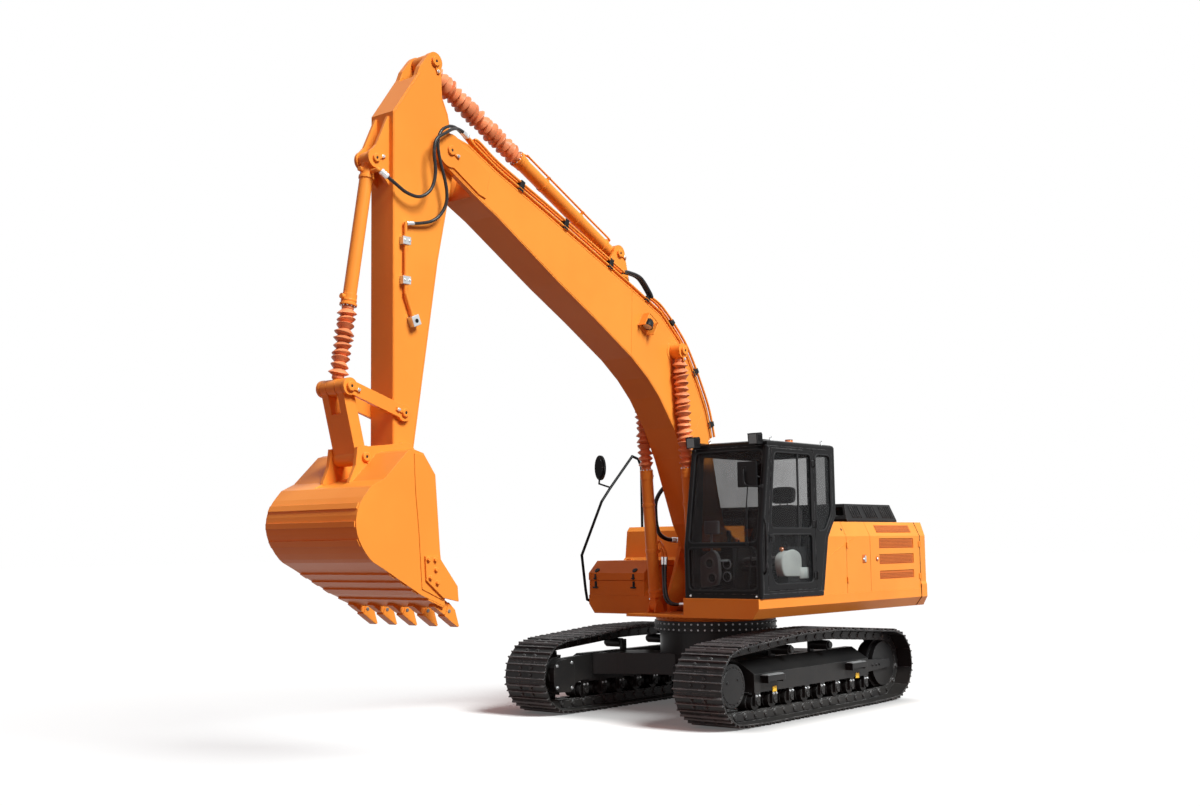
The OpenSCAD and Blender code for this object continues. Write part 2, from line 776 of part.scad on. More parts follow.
module cab_door() {
  color(black) {
    difference() {
      slab(door_line, cab_y1 - wall_t, cab_y1);
      slab(win_door_up, cab_y1 - wall_t - 5, cab_y1 + 5);
      slab(win_door_low, cab_y1 - wall_t - 5, cab_y1 + 5);
    }
    // hinge barrels on straps
    for (z = [1480, 2060, roof_z - 210]) {
      translate([-31, cab_y1 + 13, z]) cylinder(r = 12, h = 90);
      box([-31, cab_y1 - 1, z + 10], [30, cab_y1 + 13, z + 80]);
    }
  }
}

module door_glass() {
  color(glass) {
    slab(win_door_up, cab_y1 - 22, cab_y1 - 14);
    slab(win_door_low, cab_y1 - 22, cab_y1 - 14);
  }
}

seat_y = 890;
module seat() {
  color(dark) {
    box([-60, seat_y - 200, base_z], [320, seat_y + 200, base_z + 280]);
    slab([[-120, 1630], [400, 1630], [430, 1680], [400, 1730], [-120, 1730]], seat_y - 250, seat_y + 250);
    slab([[-130, 1730], [20, 1730], [-100, 2330], [-230, 2330]], seat_y - 240, seat_y + 240);
    slab([[-205, 2330], [-105, 2330], [-130, 2540], [-215, 2540]], seat_y - 150, seat_y + 150);
  }
}

module controls() {
  color(grey) {
    box([-60, cab_y0 + wall_t + 2, base_z], [500, cab_y0 + wall_t + 160, 1850]);
    box([0, cab_y1 - wall_t - 165, base_z], [420, cab_y1 - wall_t - 30, 1850]);
    box([700, seat_y - 200, base_z], [790, seat_y + 200, base_z + 40]);
    for (s = [-1, 1]) rod([745, seat_y + s * 90, base_z + 40], [640, seat_y + s * 90, 1930], 12);
    rod([440, cab_y0 + wall_t + 80, 1850], [470, cab_y0 + wall_t + 90, 2040], 20);
    rod([360, cab_y1 - wall_t - 98, 1850], [390, cab_y1 - wall_t - 108, 2040], 20);
  }
}

module cab_lamps() {
  color(dark) {
    for (y = [cab_y0 - 5, cab_y1 - 165]) {
      box([700, y + 35, cab_top], [960, y + 85, cab_top + 12]);
      slab([[935, cab_top - 42], [1030, cab_top - 52], [1042, cab_top + 70], [955, cab_top + 80],
        [935, cab_top + 60]],
        y, y + 120);
    }
    // mirror beside the left front pillar
    box([front_knee[0] - 90, cab_y1 - 310, 2500], [front_knee[0] - 60, cab_y1 - 70, 2775]);
    rod([987, cab_y1 - 60, 2600], [1020, cab_y1 - 90, 2620], 9);
    // low beacon on the roof
    translate([156, cab_y1 - 200, cab_top]) cylinder(r = 45, h = 46);
  }
}

// boom

boom_line = [[330, 1840], [520, 2126], [842, 2870], [1035, 3213], [1290, 3540], [1500, 3740], [1780, 3943],
  [2400, 4300], [2952, 4600], [3894, 5150], [4119, 5262], [4600, 5530], [4640, 5760], [4500, 5835],
  [4270, 5792], [3871, 5596], [3213, 5326], [2521, 5036], [1746, 4707], [1238, 4476], [910, 4204],
  [743, 3998], [554, 3688], [413, 3414], [330, 3117], [190, 2500], [50, 2010]];

fork_r = 500;
module boom() {
  color(orange)
  difference() {
    union() {
      difference() {
        slab(boom_line, -boom_h, boom_h);
        slab(inset(boom_line, boom_t), -boom_h + boom_t, boom_h - boom_t);
      }
      pin(boom_foot, 165, -boom_h - 14, boom_h + 14);
      pin(boom_tip, 165, -boom_h - 14, boom_h + 14);
      // cheek plates at the tip
      slab_pair([[4470, 5795], [4373, 5745], [4253, 5705], [3985, 5560], [4045, 5292], [4140, 5318],
        [4480, 5512], [4590, 5570]], boom_h - 1, boom_h + 14);
      pin(boomcyl_eye, 120, -boom_h - 6, boom_h + 6);
      // round wall that closes the box behind the fork
      intersection() {
        slab(boom_line, -boom_h + 5, boom_h - 5);
        difference() {
          pin(boom_tip, fork_r + 24, -boom_h, boom_h);
          pin(boom_tip, fork_r - 1, -boom_h - 1, boom_h + 1);
        }
      }
      // arm cylinder ears
      slab_pair([[1620, 4620], [2140, 4820], [1925, 5120], [1745, 5120]], 78, 110);
      pin_pair(armcyl_base, 95, 78, 110);
    }
    pin(boom_foot, 49.4, -400, 400);
    // fork that takes the arm
    pin(boom_tip, fork_r, -arm_h - 8, arm_h + 8);
    pin(boom_tip, 49, -400, 400);
  }
  color(steel) {
    pin(boom_tip, 48.5, -boom_h - 24, boom_h + 24);
    pin(armcyl_base, 44, -126, 126);
  }
}

pipe_y = [168, 202];
pipe_r = 15;
pipe_up = 36;
pipe_line = inset(boom_line, -pipe_up);
module boom_pipes() {
  color(steel)
  for (y = pipe_y)
  bent(concat([for (i = [24 : -1 : 15]) [pipe_line[i][0], y, pipe_line[i][1]]],
    [[4180, y, 5802], [4262, y, 5862]]),
    pipe_r);
  // clamps on the top plate
  color(dark)
  for (i = [16, 17, 18, 19, 22, 24])
  along(boom_line[i], boom_line[i - 1], 0)
  translate([norm(boom_line[i - 1] - boom_line[i]) / 2 - 30, pipe_y[0] - 26, 0.3])
  cube([60, pipe_y[1] - pipe_y[0] + 52, pipe_up + pipe_r + 8]);
}

// cylinders

// barrel along +X: eye at 0, tube from x0 to x1, gland at the far end
module barrel(x0, x1, r, bore, rod_r, eye_r, eye_w, eye_bore) {
  difference() {
    union() {
      xbar(x0, x1, r);
      xbar(x1 - 95, x1 + 12, r + 7);
      rotate([90, 0, 0]) cylinder(r = eye_r, h = eye_w, center = true);
      translate([0, -eye_w / 2, -eye_r * 0.8]) cube([x0 + 5, eye_w, eye_r * 1.6]);
      // oil ports
      for (x = [x0 + 70, x1 - 60]) translate([x, 0, 0]) cylinder(r = 24, h = r + 34);
    }
    rotate([90, 0, 0]) cylinder(r = eye_bore, h = 400, center = true);
    xbar(x0 + 45, x1 - 30, bore);
    xbar(x1 - 31, x1 + 20, rod_r + 0.4);
  }
}

// piston at x0 and rod up to the eye at l
module piston(x0, l, rod_r, bore, eye_r, eye_w) {
  xbar(x0, x0 + 38, bore - 0.4);
  xbar(x0 + 37, l - eye_r + 15, rod_r);
  translate([l, 0, 0]) rotate([90, 0, 0]) cylinder(r = eye_r, h = eye_w, center = true);
}

boomcyl_l = norm(boomcyl_eye - boomcyl_base);
module boom_barrels() {
  color(orange)
  for (s = [-1, 1])
  along(boomcyl_base, boomcyl_eye, s * boomcyl_y)
  barrel(105, 1560, 68, 52, 46, 60, 76, 38.4);
}

module boom_rods() {
  color(steel) {
    for (s = [-1, 1])
    along(boomcyl_base, boomcyl_eye, s * boomcyl_y)
    piston(1168, boomcyl_l, 46, 52, 85, 130);
    // pin heads on the outside
    pin_pair(boomcyl_eye, 50, boomcyl_y + 60, boomcyl_y + 84);
  }
}

module boom_boots() {
  color(boot)
  for (s = [-1, 1])
  along(boomcyl_base, boomcyl_eye, s * boomcyl_y)
  folds(1576, boomcyl_l - 90, 16, 46.4, 52, 72);
}

armcyl_l = norm(armcyl_eye - armcyl_base);
module arm_barrel() {
  color(orange)
  along(armcyl_base, armcyl_eye, 0)
  barrel(60, 1708, 72, 60, 52, 85, 140, 44.4);
}

module arm_rod() {
  color(steel)
  along(armcyl_base, armcyl_eye, 0)
  piston(1283, armcyl_l, 52, 60, 88, 150);
}

module arm_boot() {
  color(boot)
  along(armcyl_base, armcyl_eye, 0)
  folds(1724, armcyl_l - 95, 18, 52.4, 60, 82);
}

bucketcyl_l = norm(common_pin - bucketcyl_base);
port_x = 125;
port_y = 150;
module bucket_barrel() {
  color(orange)
  along(bucketcyl_base, common_pin, 0)
  difference() {
    union() {
      barrel(50, 1400, 62, 52, 44, 76, 120, 40.4);
      // side port for the arm hose
      translate([port_x, port_y, 0]) rotate([90, 0, 0]) cylinder(r = 20, h = port_y - 58);
      translate([port_x, port_y, 0]) sphere(r = 24);
    }
    xbar(95, 1370, 52);
  }
}

module bucket_rod() {
  color(steel)
  along(bucketcyl_base, common_pin, 0)
  piston(560, bucketcyl_l, 44, 52, 76, 110);
}

module bucket_boot() {
  color(boot)
  along(bucketcyl_base, common_pin, 0)
  folds(1416, bucketcyl_l - 80, 12, 44.4, 50, 68);
}

// arm

arm_line = [[4945, 2745], [4990, 2680], [5150, 2680], [5187, 2800], [5187, 5923], [4850, 6400],
  [4560, 6200], [4488, 6052], [4470, 5973], [4435, 5427], [4622, 4605]];

module arm() {
  color(orange)
  difference() {
    union() {
      difference() {
        slab(arm_line, -arm_h, arm_h);
        slab(inset(arm_line, arm_t), -arm_h + arm_t, arm_h - arm_t);
      }
      pin(boom_tip, 130, -arm_h, arm_h);
      pin(bucket_pin, 120, -arm_h, arm_h);
      pin(rocker_pin, 104, -arm_h, arm_h);
      // ears for the arm cylinder
      slab_pair([[4560, 6150], [4930, 6240], [4850, 6440], [4740, 6580], [4580, 6560]], 92, arm_h);
      pin_pair(armcyl_eye, 95, 92, arm_h);
      // ears for the bucket cylinder
      slab_pair([[5160, 5200], [5330, 5365], [5420, 5500], [5345, 5580], [5205, 5880], [5160, 5880]], 68,
        100);
      pin_pair(bucketcyl_base, 90, 68, 100);
    }
    pin(boom_tip, 49, -300, 300);
    pin(bucket_pin, 45.5, -300, 300);
    pin(rocker_pin, 40.5, -300, 300);
    // room for the eye of the arm cylinder rod
    pin(armcyl_eye, 320, -91, 91);
  }
  color(steel) {
    pin(bucketcyl_base, 40, -112, 112);
    pin_pair(armcyl_eye, 50, arm_h - 1, arm_h + 18);
  }
}

module arm_pipe() {
  y = arm_h + 30;
  color(steel) {
    bent([[5060, y, 4890], [5060, y, 4220], [4960, y, 3990]], 16);
    for (z = [4310, 4680]) box([5015, arm_h + 0.3, z], [5105, y + 24, z + 70]);
    // end block
    along([4985, 4040], [4940, 3935], 0)
    translate([20, arm_h + 0.3, -45])
    cube([95, 70, 90]);
  }
}

// bucket and links

module rocker_links() {
  d = unit(common_pin - rocker_pin);
  n = left_of(d);
  color(orange) {
    for (p = [rocker_pin, common_pin]) pin_pair(p, 78, arm_h + 5, arm_h + 40);
    slab_pair([rocker_pin - n * 60, common_pin - n * 60, common_pin + n * 60, rocker_pin + n * 60],
      arm_h + 5, arm_h + 40);
  }
  color(steel) {
    pin(rocker_pin, 40, -arm_h - 52, arm_h + 52);
    pin_pair(common_pin, 46, arm_h + 39, arm_h + 56);
  }
}

module bucket_link() {
  d = unit(link_pin - common_pin);
  n = left_of(d);
  web = at(common_pin, d, 230);
  color(orange)
  difference() {
    union() {
      pin_pair(common_pin, 76, 64, arm_h - 2);
      slab_pair([common_pin - n * 60, link_pin - n * 60, link_pin + n * 60, common_pin + n * 60], 64,
        arm_h - 2);
      slab([web - n * 60, link_pin - n * 60, link_pin + n * 60, web + n * 60], -70, 70);
      pin(link_pin, 76, -arm_h + 2, arm_h - 2);
    }
    pin(link_pin, 42.5, -300, 300);
  }
}

function mix(a, b, t) = a + (b - a) * t;

// open line made into a band between the distances a and b to its left
function beside(p, i, d) = p[i] + left_of(unit(p[min(i + 1, len(p) - 1)] - p[max(i - 1, 0)])) * d;
function ribbon(p, a, b) = concat([for (i = [0 : len(p) - 1]) beside(p, i, a)],
  [for (i = [len(p) - 1 : -1 : 0]) beside(p, i, b)]);

// bucket skin from the lip over the heel to the front edge of the top
lip = [4990, 1375];
heel_line = [[5259, 1480], [5693, 1716], [5849, 1805], [5971, 1971], [6002, 2122], [5957, 2274],
  [5836, 2418]];
top_line = [[5695, 2481], [5423, 2733], [5358, 2752], [5241, 2722], [5098, 2535]];
// lower top between the ears, under the link
mid_line = [[5660, 2466], [5440, 2530], [5230, 2552], [5098, 2500]];
heel = smooth(heel_line, 3);
bucket_line = concat([lip], heel, top_line);
bucket_mid = concat([lip], heel, mid_line);
bucket_side = concat(bucket_line, [[5041, 1841], [4986, 1458]]);
skin_t = 24;
ear_y = arm_h + 12;
ear_t = 38;
floor_dir = unit(heel_line[0] - lip);

module bucket() {
  color(orange) {
    slab_pair(ribbon(bucket_line, 0, skin_t), ear_y + 2, bucket_h - 4);
    slab(ribbon(bucket_mid, 0, skin_t), -ear_y - 4, ear_y + 4);
    slab_pair(bucket_side, bucket_h - skin_t, bucket_h);
    // thicker lip
    slab(ribbon([lip, at(lip, floor_dir, 200)], -14, 30), -bucket_h + 2, bucket_h - 2);
    // ears
    slab_pair([[4985, 2660], [5098, 2490], [5440, 2500], [5690, 2440], [5730, 2470], [5660, 2620],
      [5640, 2780], [5450, 2800], [5080, 2840]], ear_y, ear_y + ear_t);
    pin_pair(bucket_pin, 125, arm_h + 6, ear_y + ear_t);
    pin_pair(link_pin, 100, ear_y, ear_y + ear_t);
    // wear bars across the back
    for (i = [8, 11, 14])
    slab(ribbon([heel[i], heel[i + 1]], -12, 4), 12 - bucket_h, bucket_h - 12);
    for (t = [0.08, 0.38, 0.68])
    slab(ribbon([mix(heel[0], heel[3], t), mix(heel[0], heel[3], t + 0.16)], -12, 4), 12 - bucket_h,
      bucket_h - 12);
    // front edges of the sides
    slab_pair([[5352, 2715], [5338, 2395], [5298, 2035], [5262, 1535], [5010, 1430], [4992, 1470],
      [5048, 1845], [5105, 2530], [5245, 2712]], bucket_h - 1, bucket_h + 7);
    // side cutters
    slab_pair([[5240, 1820], [5082, 1820], [4852, 1548], [4839, 1413], [5028, 1454], [5227, 1608]],
      bucket_h - 1, bucket_h + 24);
  }
  color(steel) {
    pin(bucket_pin, 45, -arm_h - 66, arm_h + 66);
    pin(link_pin, 42, -arm_h - 66, arm_h + 66);
  }
}

// tooth drawn ahead of the lip and above it
function ahead(p) = lip - floor_dir * p[0] + left_of(floor_dir) * p[1];
adapter = [[-120, 30.3], [-120, 46], [-10, 66], [110, 40], [110, -70], [-10, -52], [-90, -34], [-90, -14.3],
  [0.3, -14.3], [0.3, 30.3]];
tooth = [[55, 56], [150, 20], [248, -98], [238, -112], [140, -92], [55, -72]];
module bucket_teeth() {
  color(dark)
  for (i = [0 : tooth_n - 1])
  translate([0, (bucket_h - skin_t - 42) * (2 * i / (tooth_n - 1) - 1), 0]) {
    slab([for (p = adapter) ahead(p)], -38, 38);
    slab([for (p = tooth) ahead(p)], -47, 47);
  }
}

// hoses

// smooth line through the points of a route, m steps from point to point
function ease(a, b, c, d, t) = 0.5 * (2 * b + (c - a) * t + (2 * a - 5 * b + 4 * c - d) * t * t
  + (3 * b - a - 3 * c + d) * t * t * t);
function smooth(p, m) = let (n = len(p)) concat([for (i = [0 : n - 2]) for (k = [0 : m - 1])
  ease(p[max(i - 1, 0)], p[i], p[i + 1], p[min(i + 2, n - 1)], k / m)], [p[n - 1]]);
function heading(p, i) = unit(p[min(i + 1, len(p) - 1)] - p[max(i - 1, 0)]);
function hoop(p, i, r) = let (t = heading(p, i), a = unit(cross(t, [0, 1, 0])), b = cross(t, a))
  [for (j = [0 : 7]) p[i] + r * (cos(45 * j) * a + sin(45 * j) * b)];

// soft round hose of radius r along a line
module tube(p, r) {
  n = len(p);
  walls = [for (i = [0 : n - 2]) for (j = [0 : 7]) let (k = (j + 1) % 8, a = 8 * i, b = 8 * i + 8)
    each [[a + j, b + j, b + k], [a + j, b + k, a + k]]];
  polyhedron(points = [for (i = [0 : n - 1]) each hoop(p, i, r)],
    faces = concat([[for (j = [0 : 7]) j]], walls, [[for (j = [7 : -1 : 0]) 8 * (n - 1) + j]]));
}

module arm_hoses() {
  color(black) {
    tube(smooth(hose_a, 3), hose_r);
    tube(smooth(hose_b, 3), hose_r);
  }
}

module boom_hose() {
  color(black) tube(smooth(hose_c, 4), 25);
}

car_body();
track_frames();
track_left();
track_right();
sprockets();
idlers();
bottom_rollers();
carrier_rollers();
slew_ring();
revolving_frame();
counterweight();
engine();
house_panels();
engine_hood();
left_front_door();
left_rear_door();
right_door();
tanks();
toolbox();
toolbox_lid();
handrail();
cab_base();
cab_front();
cab_left();
cab_right();
cab_rear();
cab_roof();
cab_glass();
cab_door();
door_glass();
seat();
controls();
cab_lamps();
boom();
boom_pipes();
boom_barrels();
boom_rods();
boom_boots();
arm_barrel();
arm_rod();
arm_boot();
arm();
arm_pipe();
bucket_barrel();
bucket_rod();
bucket_boot();
rocker_links();
bucket_link();
bucket();
bucket_teeth();
arm_hoses();
boom_hose();
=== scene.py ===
import math

import bmesh
import bpy
import numpy as np
from mathutils import Matrix, Vector


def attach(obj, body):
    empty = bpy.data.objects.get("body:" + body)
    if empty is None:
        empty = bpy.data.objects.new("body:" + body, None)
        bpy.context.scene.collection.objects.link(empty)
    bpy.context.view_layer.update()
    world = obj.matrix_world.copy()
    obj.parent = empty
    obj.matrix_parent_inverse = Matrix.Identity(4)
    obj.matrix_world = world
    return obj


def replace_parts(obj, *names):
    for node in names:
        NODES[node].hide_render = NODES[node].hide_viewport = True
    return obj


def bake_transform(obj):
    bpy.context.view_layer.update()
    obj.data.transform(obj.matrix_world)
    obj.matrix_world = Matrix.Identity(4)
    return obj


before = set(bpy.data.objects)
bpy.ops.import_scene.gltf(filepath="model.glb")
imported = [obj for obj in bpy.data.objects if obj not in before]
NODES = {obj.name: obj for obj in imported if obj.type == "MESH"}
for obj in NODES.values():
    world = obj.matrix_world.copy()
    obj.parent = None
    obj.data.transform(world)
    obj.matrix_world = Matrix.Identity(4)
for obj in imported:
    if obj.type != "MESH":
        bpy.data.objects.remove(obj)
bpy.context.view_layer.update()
scene = bpy.context.scene

# Sizes that the details share with the solids, in metres.
TRACK_Y = 1.190
HALF_BASE = 1.645
AXLE_Z = 0.430
PIN_R, ROLLER_R, CARRIER_R = 0.320, 0.125, 0.110
LINK_PITCH = 0.190
ROLLER_Z = 0.221
ROLLER_X = 1.230
CARRIER_X = (0.430, -0.390)
CARRIER_Z = 0.725
HOUSE_Y = 1.375
CAB_Y0, CAB_Y1, CAB_TOP = 0.395, 1.385, 3.010
BOOM_H, ARM_H, BUCKET_H = 0.212, 0.150, 0.612
BOOM_FOOT = (0.194, 1.936)
BOOM_TIP = (4.516, 5.674)
BOOMCYL = ((0.770, 1.185), (1.010, 4.075))
BOOMCYL_YS = (-0.292, 0.292)
ARMCYL = ((1.834, 5.102), (4.653, 6.532))
BUCKETCYL = ((5.348, 5.453), (5.713, 3.313))
BUCKET_PIN = (5.074, 2.723)
ROCKER_PIN = (5.076, 3.118)
COMMON_PIN = (5.713, 3.313)
LINK_PIN = (5.549, 2.698)


# Camera, fitted to the photograph; these three are in its pixels

PHOTO_WIDTH, FOCAL_LENGTH, CENTRE_SHIFT = 1200, 1395.9, (-6.2, 4.6)


def make_camera():
    spot = Vector((13.658, 9.656, 1.889))
    az, el, roll = 3.832, math.radians(5.65), math.radians(-0.81)
    look = Vector((math.cos(az) * math.cos(el), math.sin(az) * math.cos(el), math.sin(el)))
    data = bpy.data.cameras.new("camera")
    data.sensor_width = 36.0
    data.lens = FOCAL_LENGTH / PHOTO_WIDTH * data.sensor_width
    data.shift_x, data.shift_y = (v / PHOTO_WIDTH for v in CENTRE_SHIFT)
    data.clip_end = 400
    cam = bpy.data.objects.new("camera", data)
    scene.collection.objects.link(cam)
    cam.rotation_mode = "QUATERNION"
    cam.rotation_quaternion = look.to_track_quat("-Z", "Y") @ Matrix.Rotation(roll, 3, "Z").to_quaternion()
    cam.location = spot
    scene.camera = cam


make_camera()
scene.view_settings.view_transform = "Standard"


# Shader maths: one class wraps a socket, so a pattern is written as an expression

class Part:
    """A node's output inside a material: a value, colour, vector or shader."""

    def __init__(self, finish, socket):
        self.finish = finish
        self.socket = socket

    def _with(self, op, other, swap=False):
        pair = (other, self) if swap else (self, other)
        return self.finish.make("ShaderNodeMath", {"operation": op}, {0: pair[0], 1: pair[1]})

    def __add__(self, o): return self._with("ADD", o)
    def __radd__(self, o): return self._with("ADD", o, True)
    def __sub__(self, o): return self._with("SUBTRACT", o)
    def __rsub__(self, o): return self._with("SUBTRACT", o, True)
    def __mul__(self, o): return self._with("MULTIPLY", o)

    def power(self, o): return self._with("POWER", o)
    def most(self, o): return self._with("MAXIMUM", o)


class Finish:
    """A material, or the world, being made: nodes are added by one method, and the shader closes it."""

    def __init__(self, name, world=False):
        self.made = (bpy.data.worlds if world else bpy.data.materials).new(name)
        self.made.use_nodes = True
        self.tree = self.made.node_tree
        self.tree.nodes.clear()
        self.end = self.tree.nodes.new("ShaderNodeOutputWorld" if world else "ShaderNodeOutputMaterial")

    def make(self, kind, settings, inputs, out=0):
        n = self.tree.nodes.new(kind)
        for k, v in (settings or {}).items():
            setattr(n, k, v)
        for k, v in (inputs or {}).items():
            self.feed(n.inputs[k], v)
        return Part(self, n.outputs[out])

    def feed(self, socket, value):
        if isinstance(value, Part):
            self.tree.links.new(value.socket, socket)
        elif socket.type == "RGBA":
            socket.default_value = (*value, 1.0)
        else:
            socket.default_value = value

    def place(self):
        return self.make("ShaderNodeTexCoord", None, None, "Object")

    def noise(self, scale, detail=4.0, rough=0.55, stretch=None):
        where = self.place()
        if stretch:
            where = self.make("ShaderNodeMapping", None, {"Vector": where, "Scale": stretch}, "Vector")
        return self.make("ShaderNodeTexNoise", None,
                         {"Vector": where, "Scale": scale, "Detail": detail, "Roughness": rough}, "Fac")

    def waves(self, way, scale, twist=0.0):
        return self.make("ShaderNodeTexWave", {"bands_direction": way},
                         {"Vector": self.place(), "Scale": scale, "Distortion": twist}, "Fac")

    def step(self, fac, low, high):
        return self.make("ShaderNodeMapRange", {"interpolation_type": "SMOOTHSTEP"},
                         {"Value": fac, "From Min": low, "From Max": high, "To Min": 0.0, "To Max": 1.0}, "Result")

    def blend(self, fac, a, b):
        """colour mix; the node's colour sockets are its inputs 6 and 7 and its output 2"""
        return self.make("ShaderNodeMix", {"data_type": "RGBA"}, {0: fac, 6: a, 7: b}, 2)

    def reading(self, axis):
        return self.make("ShaderNodeSeparateXYZ", None, {0: self.place()}, axis)

    def seen(self):
        """1 on what the camera sees, straight or by way of metal and glass"""
        camera, glossy, through = (self.make("ShaderNodeLightPath", None, None, "Is " + kind + " Ray")
                                   for kind in ("Camera", "Glossy", "Transmission"))
        return camera.most(glossy).most(through)

    def soft_edge(self, radius):
        return self.make("ShaderNodeBevel", {"samples": 4}, {"Radius": radius}, "Normal")

    def edge(self, radius):
        """1 on outer edges that a rag or a stone would rub, 0 on the flats; it also places the painted highlight of
        the cab, hood and shoe paints
        """
        true = self.make("ShaderNodeNewGeometry", None, None, "Normal")
        dot = self.make("ShaderNodeVectorMath", {"operation": "DOT_PRODUCT"}, {0: true, 1: self.soft_edge(radius)},
                        "Value")
        return self.step(1 - dot, 0.02, 0.16)

    def bump(self, height, strength, distance, normal=None):
        inputs = {"Height": height, "Strength": strength, "Distance": distance}
        if normal is not None:
            inputs["Normal"] = normal
        return self.make("ShaderNodeBump", None, inputs, "Normal")

    def close(self, **sockets):
        names = {"colour": "Base Color", "rough": "Roughness", "metal": "Metallic", "normal": "Normal",
                 "coat": "Coat Weight", "coat_rough": "Coat Roughness", "alpha": "Alpha",
                 "specular": "Specular IOR Level", "sheen": "Sheen Weight"}
        return self.end_with(self.make("ShaderNodeBsdfPrincipled", None, {names[k]: v for k, v in sockets.items()}))

    def end_with(self, shader):
        self.feed(self.end.inputs[0], shader)
        return self.made


def paint(name, tint, shade, rough, gloss, dust=0.0, dust_top=0.9, edge_wear_and_highlight_tint=None, peel=0.25,
          dust_tint=(0.33, 0.27, 0.21), edge_wear_and_highlight=0.55):
    """Sprayed metal: drifting tone, orange peel, rubbed edges that on the cab, hood and shoe paints are also a
    painted highlight, fine scratches and dust low down.
    """
    f = Finish(name)
    drift = f.noise(0.9, 3.0)
    body = f.blend(f.step(drift, 0.30, 0.72), tint, shade)
    scuff = f.step(f.noise(38.0, 6.0, 0.7, (1.0, 1.0, 0.16)), 0.66, 0.80)
    # pale edges: rubbed paint, and on the cab, hood and shoe paints a painted highlight along the edges
    rubbed_and_highlit = f.edge(0.006) * f.step(f.noise(11.0, 4.0), 0.36, 0.62)
    body = f.blend(rubbed_and_highlit * edge_wear_and_highlight, body, edge_wear_and_highlight_tint or [min(1.0, c * 1.25 + 0.02) for c in tint])
    body = f.blend(scuff * 0.10, body, [c * 0.55 for c in tint])
    if dust:
        low = 1 - f.step(f.reading(2), 0.05, dust_top)
        film = f.step(f.noise(5.5, 6.0, 0.6) + low * 0.30, 0.50, 0.86) * dust
        body = f.blend(film, body, dust_tint)
        sheen = rough + film * 0.35 + scuff * 0.10 + drift * 0.08 - 0.04
    else:
        sheen = rough + scuff * 0.12 + drift * 0.10 - 0.05
    skin = f.bump(f.noise(240.0, 2.0), peel * 0.18, 0.0006, f.soft_edge(0.006))
    return f.close(colour=body, rough=sheen, normal=skin, specular=gloss)


def bare_steel(name, tint, rough, metal=1.0):
    f = Finish(name)
    grain = f.noise(60.0, 5.0, 0.6)
    patch = f.noise(6.0, 3.0)
    body = f.blend(f.step(patch, 0.35, 0.75), tint, [c * 0.72 for c in tint])
    return f.close(colour=body, rough=rough + grain * 0.18 - 0.05, metal=metal,
                   normal=f.bump(grain, 0.12, 0.0005, f.soft_edge(0.002)))


def rubber(name, tint, rough, grain, dust):
    f = Finish(name)
    drift = f.noise(4.0, 5.0)
    body = f.blend(f.step(drift, 0.35, 0.70), tint, [c * 0.72 for c in tint])
    body = f.blend(f.step(f.noise(18.0, 5.0), 0.58, 0.80) * dust, body, (0.42, 0.36, 0.30))
    return f.close(colour=body, rough=rough + drift * 0.16 - 0.08, specular=0.25,
                   normal=f.bump(f.noise(grain, 3.0), 0.22, 0.0012))


def moulded(name, tint, rough=0.5):
    f = Finish(name)
    drift = f.noise(3.0, 3.0)
    body = f.blend(f.step(drift, 0.30, 0.75), tint, [c * 0.82 for c in tint])
    return f.close(colour=body, rough=rough + drift * 0.10 - 0.05, specular=0.14,
                   normal=f.bump(f.noise(420.0, 2.0), 0.20, 0.0006, f.soft_edge(0.003)))


def tinted(name, tint, film=0.10, dark=0.36):
    """Window glass: a dark see-through pane with a faint film of dust."""
    f = Finish(name)
    haze = f.step(f.noise(3.0, 5.0, 0.6), 0.42, 0.85)
    body = f.blend(haze * film, tint, (0.45, 0.46, 0.47))
    return f.close(colour=body, rough=0.02 + haze * 0.05, alpha=dark + haze * 0.06, specular=0.16)


def cloth(name, tint):
    f = Finish(name)
    thread = f.waves("X", 130.0, 0.6).most(f.waves("Z", 130.0, 0.6))
    body = f.blend(thread, [c * 0.6 for c in tint], tint)
    body = f.blend(f.step(f.noise(7.0, 4.0), 0.45, 0.75) * 0.3, body, [c * 1.5 + 0.01 for c in tint])
    return f.close(colour=body, rough=0.86 + f.noise(9.0) * 0.08, normal=f.bump(thread, 0.35, 0.0012), sheen=0.25)


def lens(name, tint):
    f = Finish(name)
    rib = f.waves("Z", 45.0)
    body = f.blend(rib * 0.5, tint, [c * 0.7 for c in tint])
    return f.close(colour=body, rough=0.08 + rib * 0.12, coat=1.0, coat_rough=0.03, normal=f.bump(rib, 0.3, 0.002))


ORANGE = paint("orange_paint", (0.900, 0.318, 0.048), (0.855, 0.280, 0.041), 0.34, 0.12, peel=0.35)
ORANGE_LOW = paint("orange_paint_dusty", (0.890, 0.310, 0.047), (0.845, 0.272, 0.040), 0.38, 0.12, dust=0.05,
                   dust_top=1.6)
# painted highlight: the pale edge tint at full strength stands for bright reflections along the cab's edges
CAB_BLACK = paint("cab_black_paint", (0.0065, 0.0067, 0.0072), (0.009, 0.009, 0.010), 0.18, 0.08,
                  edge_wear_and_highlight_tint=(0.190, 0.195, 0.205), edge_wear_and_highlight=1.0)
# painted highlight: the pale edge tint at full strength makes the hood's edges and slats read as lit
HOOD_BLACK = paint("hood_black_paint", (0.008, 0.008, 0.009), (0.012, 0.012, 0.012), 0.34, 0.09,
                   edge_wear_and_highlight_tint=(0.170, 0.170, 0.175), edge_wear_and_highlight=1.0)
TRACK_BLACK = paint("track_black_paint", (0.0085, 0.0085, 0.0092), (0.014, 0.0135, 0.0135), 0.40, 0.18, dust=0.10,
                    dust_top=0.7, edge_wear_and_highlight_tint=(0.110, 0.110, 0.115), dust_tint=(0.075, 0.066, 0.056), edge_wear_and_highlight=0.8)
